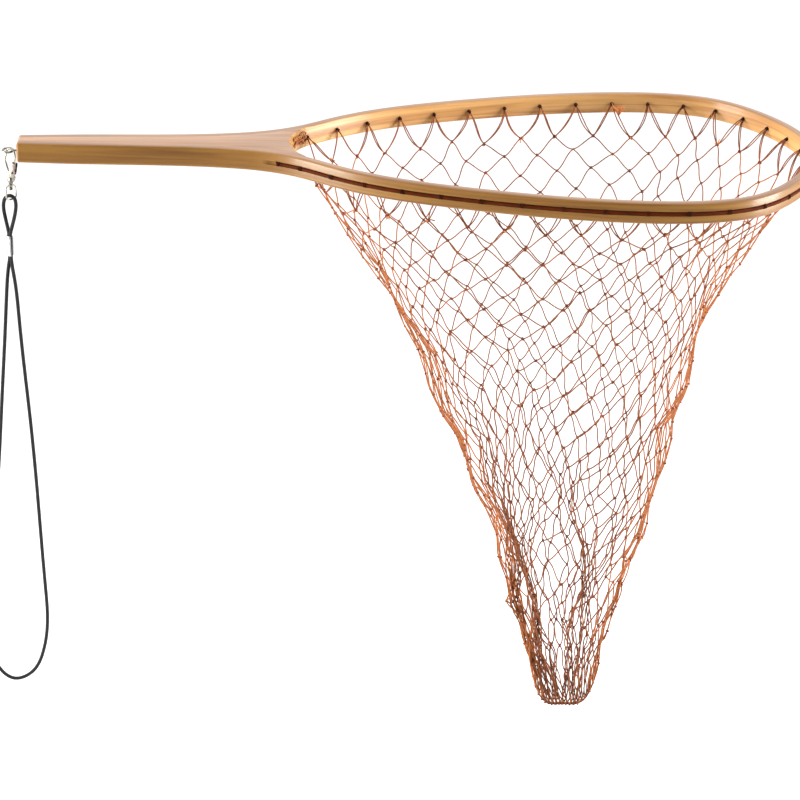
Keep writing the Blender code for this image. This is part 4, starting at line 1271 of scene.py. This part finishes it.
def make_gate(hinge):
    """The folded channel, open towards the nose; below its back the two cheeks go on, down past the pin."""
    outline = [(GATE_FRONT, GATE_TOP - 0.0004), (GATE_FRONT - 0.0004, GATE_TOP)]
    outline += [(GATE_BACK + 0.0004, GATE_TOP), (GATE_BACK, GATE_TOP - 0.0004)]
    quarter = np.linspace(0.0, QUARTER, 9)
    for x, start in ((GATE_BACK + GATE_CORNER, math.pi), (GATE_FRONT - GATE_CORNER, 1.5 * math.pi)):
        outline.extend(arc((x, GATE_FOOT + GATE_CORNER), GATE_CORNER, start + quarter))
    gate = flat_plate("snap_gate_folded", outline, GATE_HALF_WIDTH, 0.0003)
    inside = GATE_HALF_WIDTH - GATE_WALL
    front = GATE_FRONT + 0.001
    for x, foot, top in (
        (GATE_BACK + GATE_WALL, GATE_BACK_FOOT - 0.001, GATE_TOP + 0.001),
        (GATE_BACK - 0.001, GATE_FOOT - 0.001, GATE_BACK_FOOT),
    ):
        carve(gate, box_object("gate_room", (x, foot, -inside), (front, top, inside)))
    return move(gate, hinge)


def make_pin(hinge):
    half = GATE_HALF_WIDTH + 0.0002
    head = half + PIN_HEAD_THICKNESS
    dome = ((0.0, head), (PIN_HEAD_RADIUS * 0.6, head - 0.00005), (PIN_HEAD_RADIUS * 0.9, head - 0.00018))
    side = (*dome, (PIN_HEAD_RADIUS, half + 0.0001), (PIN_HEAD_RADIUS, half), (PIN_RADIUS, half))
    return move(turned("gate_pin_riveted", side + tuple((r, -z) for r, z in side[::-1])), hinge)


def make_spring(hinge):
    """A hairpin of wire beside the plate: one leg up inside the gate, a turn under the pin, one short leg."""
    turn = arc((0.0, 0.0), SPRING_COIL_RADIUS, math.pi * (1 + np.linspace(0.0, 1.0, 25)))
    side = SPRING_COIL_RADIUS
    route = [(x, y, SPRING_PLANE) for x, y in ((-side, 0.0048), (-side, 0.0012), *turn, (side, 0.0016))]
    return move(tubes("gate_spring_wire", [route], SPRING_WIRE_RADIUS, 10), hinge)


def make_post():
    """The stud that turns in the boss, with a rounded head below the swivel eye's collar."""
    middle = (POST_HEAD_TOP + POST_HEAD_BOTTOM) / 2
    half = (POST_HEAD_TOP - POST_HEAD_BOTTOM) / 2
    profile = [(0.0, POST_TOP), (POST_RADIUS, POST_TOP), (POST_RADIUS, POST_HEAD_TOP)]
    for angle in np.linspace(1.1, -QUARTER, 16)[:-1]:
        profile.append((POST_HEAD_RADIUS * math.cos(angle) ** 0.6, middle + half * math.sin(angle)))
    profile.append((0.0, POST_HEAD_BOTTOM))
    return move(turned("swivel_post_turned", profile), matrix_at((*SWIVEL_AXIS, 0.0)))


def make_swivel_eye():
    """The rounded wire link, with its collar round the post."""
    reach = LINK_HALF_WIDTH - LINK_CORNER
    top = LINK_TOP - LINK_CORNER
    foot = LINK_BOTTOM + LINK_CORNER
    line = []
    for quarter, centre in enumerate(((reach, top), (-reach, top), (-reach, foot), (reach, foot))):
        angles = QUARTER * quarter + np.linspace(0.0, QUARTER, 13)
        line.extend((x, 0.0, z) for x, z in arc(centre, LINK_CORNER, angles))
    link_wire = tubes("link_wire", [line], LINK_WIRE_RADIUS, 16, closed=True)
    edge = 0.00025
    half = COLLAR_HALF_HEIGHT
    upper = ((COLLAR_RADIUS, half - edge), (COLLAR_RADIUS - edge, half), (0.0, half))
    profile = [(radius, LINK_TOP - z) for radius, z in upper[::-1]]
    profile += [(radius, LINK_TOP + z) for radius, z in upper]
    collar = turned("collar", profile)
    whole = join([link_wire, collar], "swivel_eye_link")
    return move(whole, matrix_at((*SWIVEL_AXIS, 0.0), (LINK_TURN, "Z")))


def make_hardware():
    """The screw eye, the swivel snap and the link below it.

    The snap's own plane has X as reach from the swivel's axis, Y as height and Z across the snap.
    """
    plane = matrix_at((*SWIVEL_AXIS, 0.0), (SNAP_TURN, "Z"), (math.radians(90), "X"))
    hinge = plane @ Matrix.Translation((*GATE_PIVOT, 0.0)) @ Matrix.Rotation(-GATE_LEAN, 4, "Z")
    steel = plated("screw eye steel", (0.27, 0.26, 0.22), (0.12, 0.115, 0.095), 0.30)
    nickel = plated("snap nickel", (0.29, 0.27, 0.225), (0.13, 0.12, 0.10), 0.28)
    gate_nickel = plated("gate nickel", (0.27, 0.215, 0.19), (0.13, 0.10, 0.088), 0.30)
    dark_nickel = plated("post nickel", (0.12, 0.11, 0.09), (0.06, 0.055, 0.045), 0.36)
    for item, *where in (
        (make_screw_eye(), steel, "steel", "frame", "screw_eye"),
        (make_snap_body(plane), nickel, "nickel", "snap", "snap_body"),
        (make_post(), dark_nickel, "dark_nickel", "snap", "swivel_post"),
        (make_pin(hinge), dark_nickel, "dark_nickel", "snap", "gate_pin"),
        (make_gate(hinge), gate_nickel, "nickel", "gate", "snap_gate"),
        (make_spring(hinge), steel, "steel", "gate", "gate_spring"),
        (make_swivel_eye(), nickel, "nickel", "eye", "swivel_eye"),
    ):
        sharpen(item)
        fit(item, *where)


# ---- the scene


make_camera()
make_lanyard()
rail = Rail()
make_bow(rail)
make_core(rail)
make_lacing(rail)
make_netting(rail)
make_hardware()
make_stage()
make_surround()
make_light("overhead", (0.1, 0.4, 2.4), (0.15, 0.0, -0.1), 1.8, 25.0)
make_light("left", (-2.3, -0.35, -0.05), (0.15, 0.0, -0.1), 1.4, 150.0)
make_light("right", (2.7, -0.35, -0.05), (0.25, 0.0, -0.1), 1.4, 165.0)
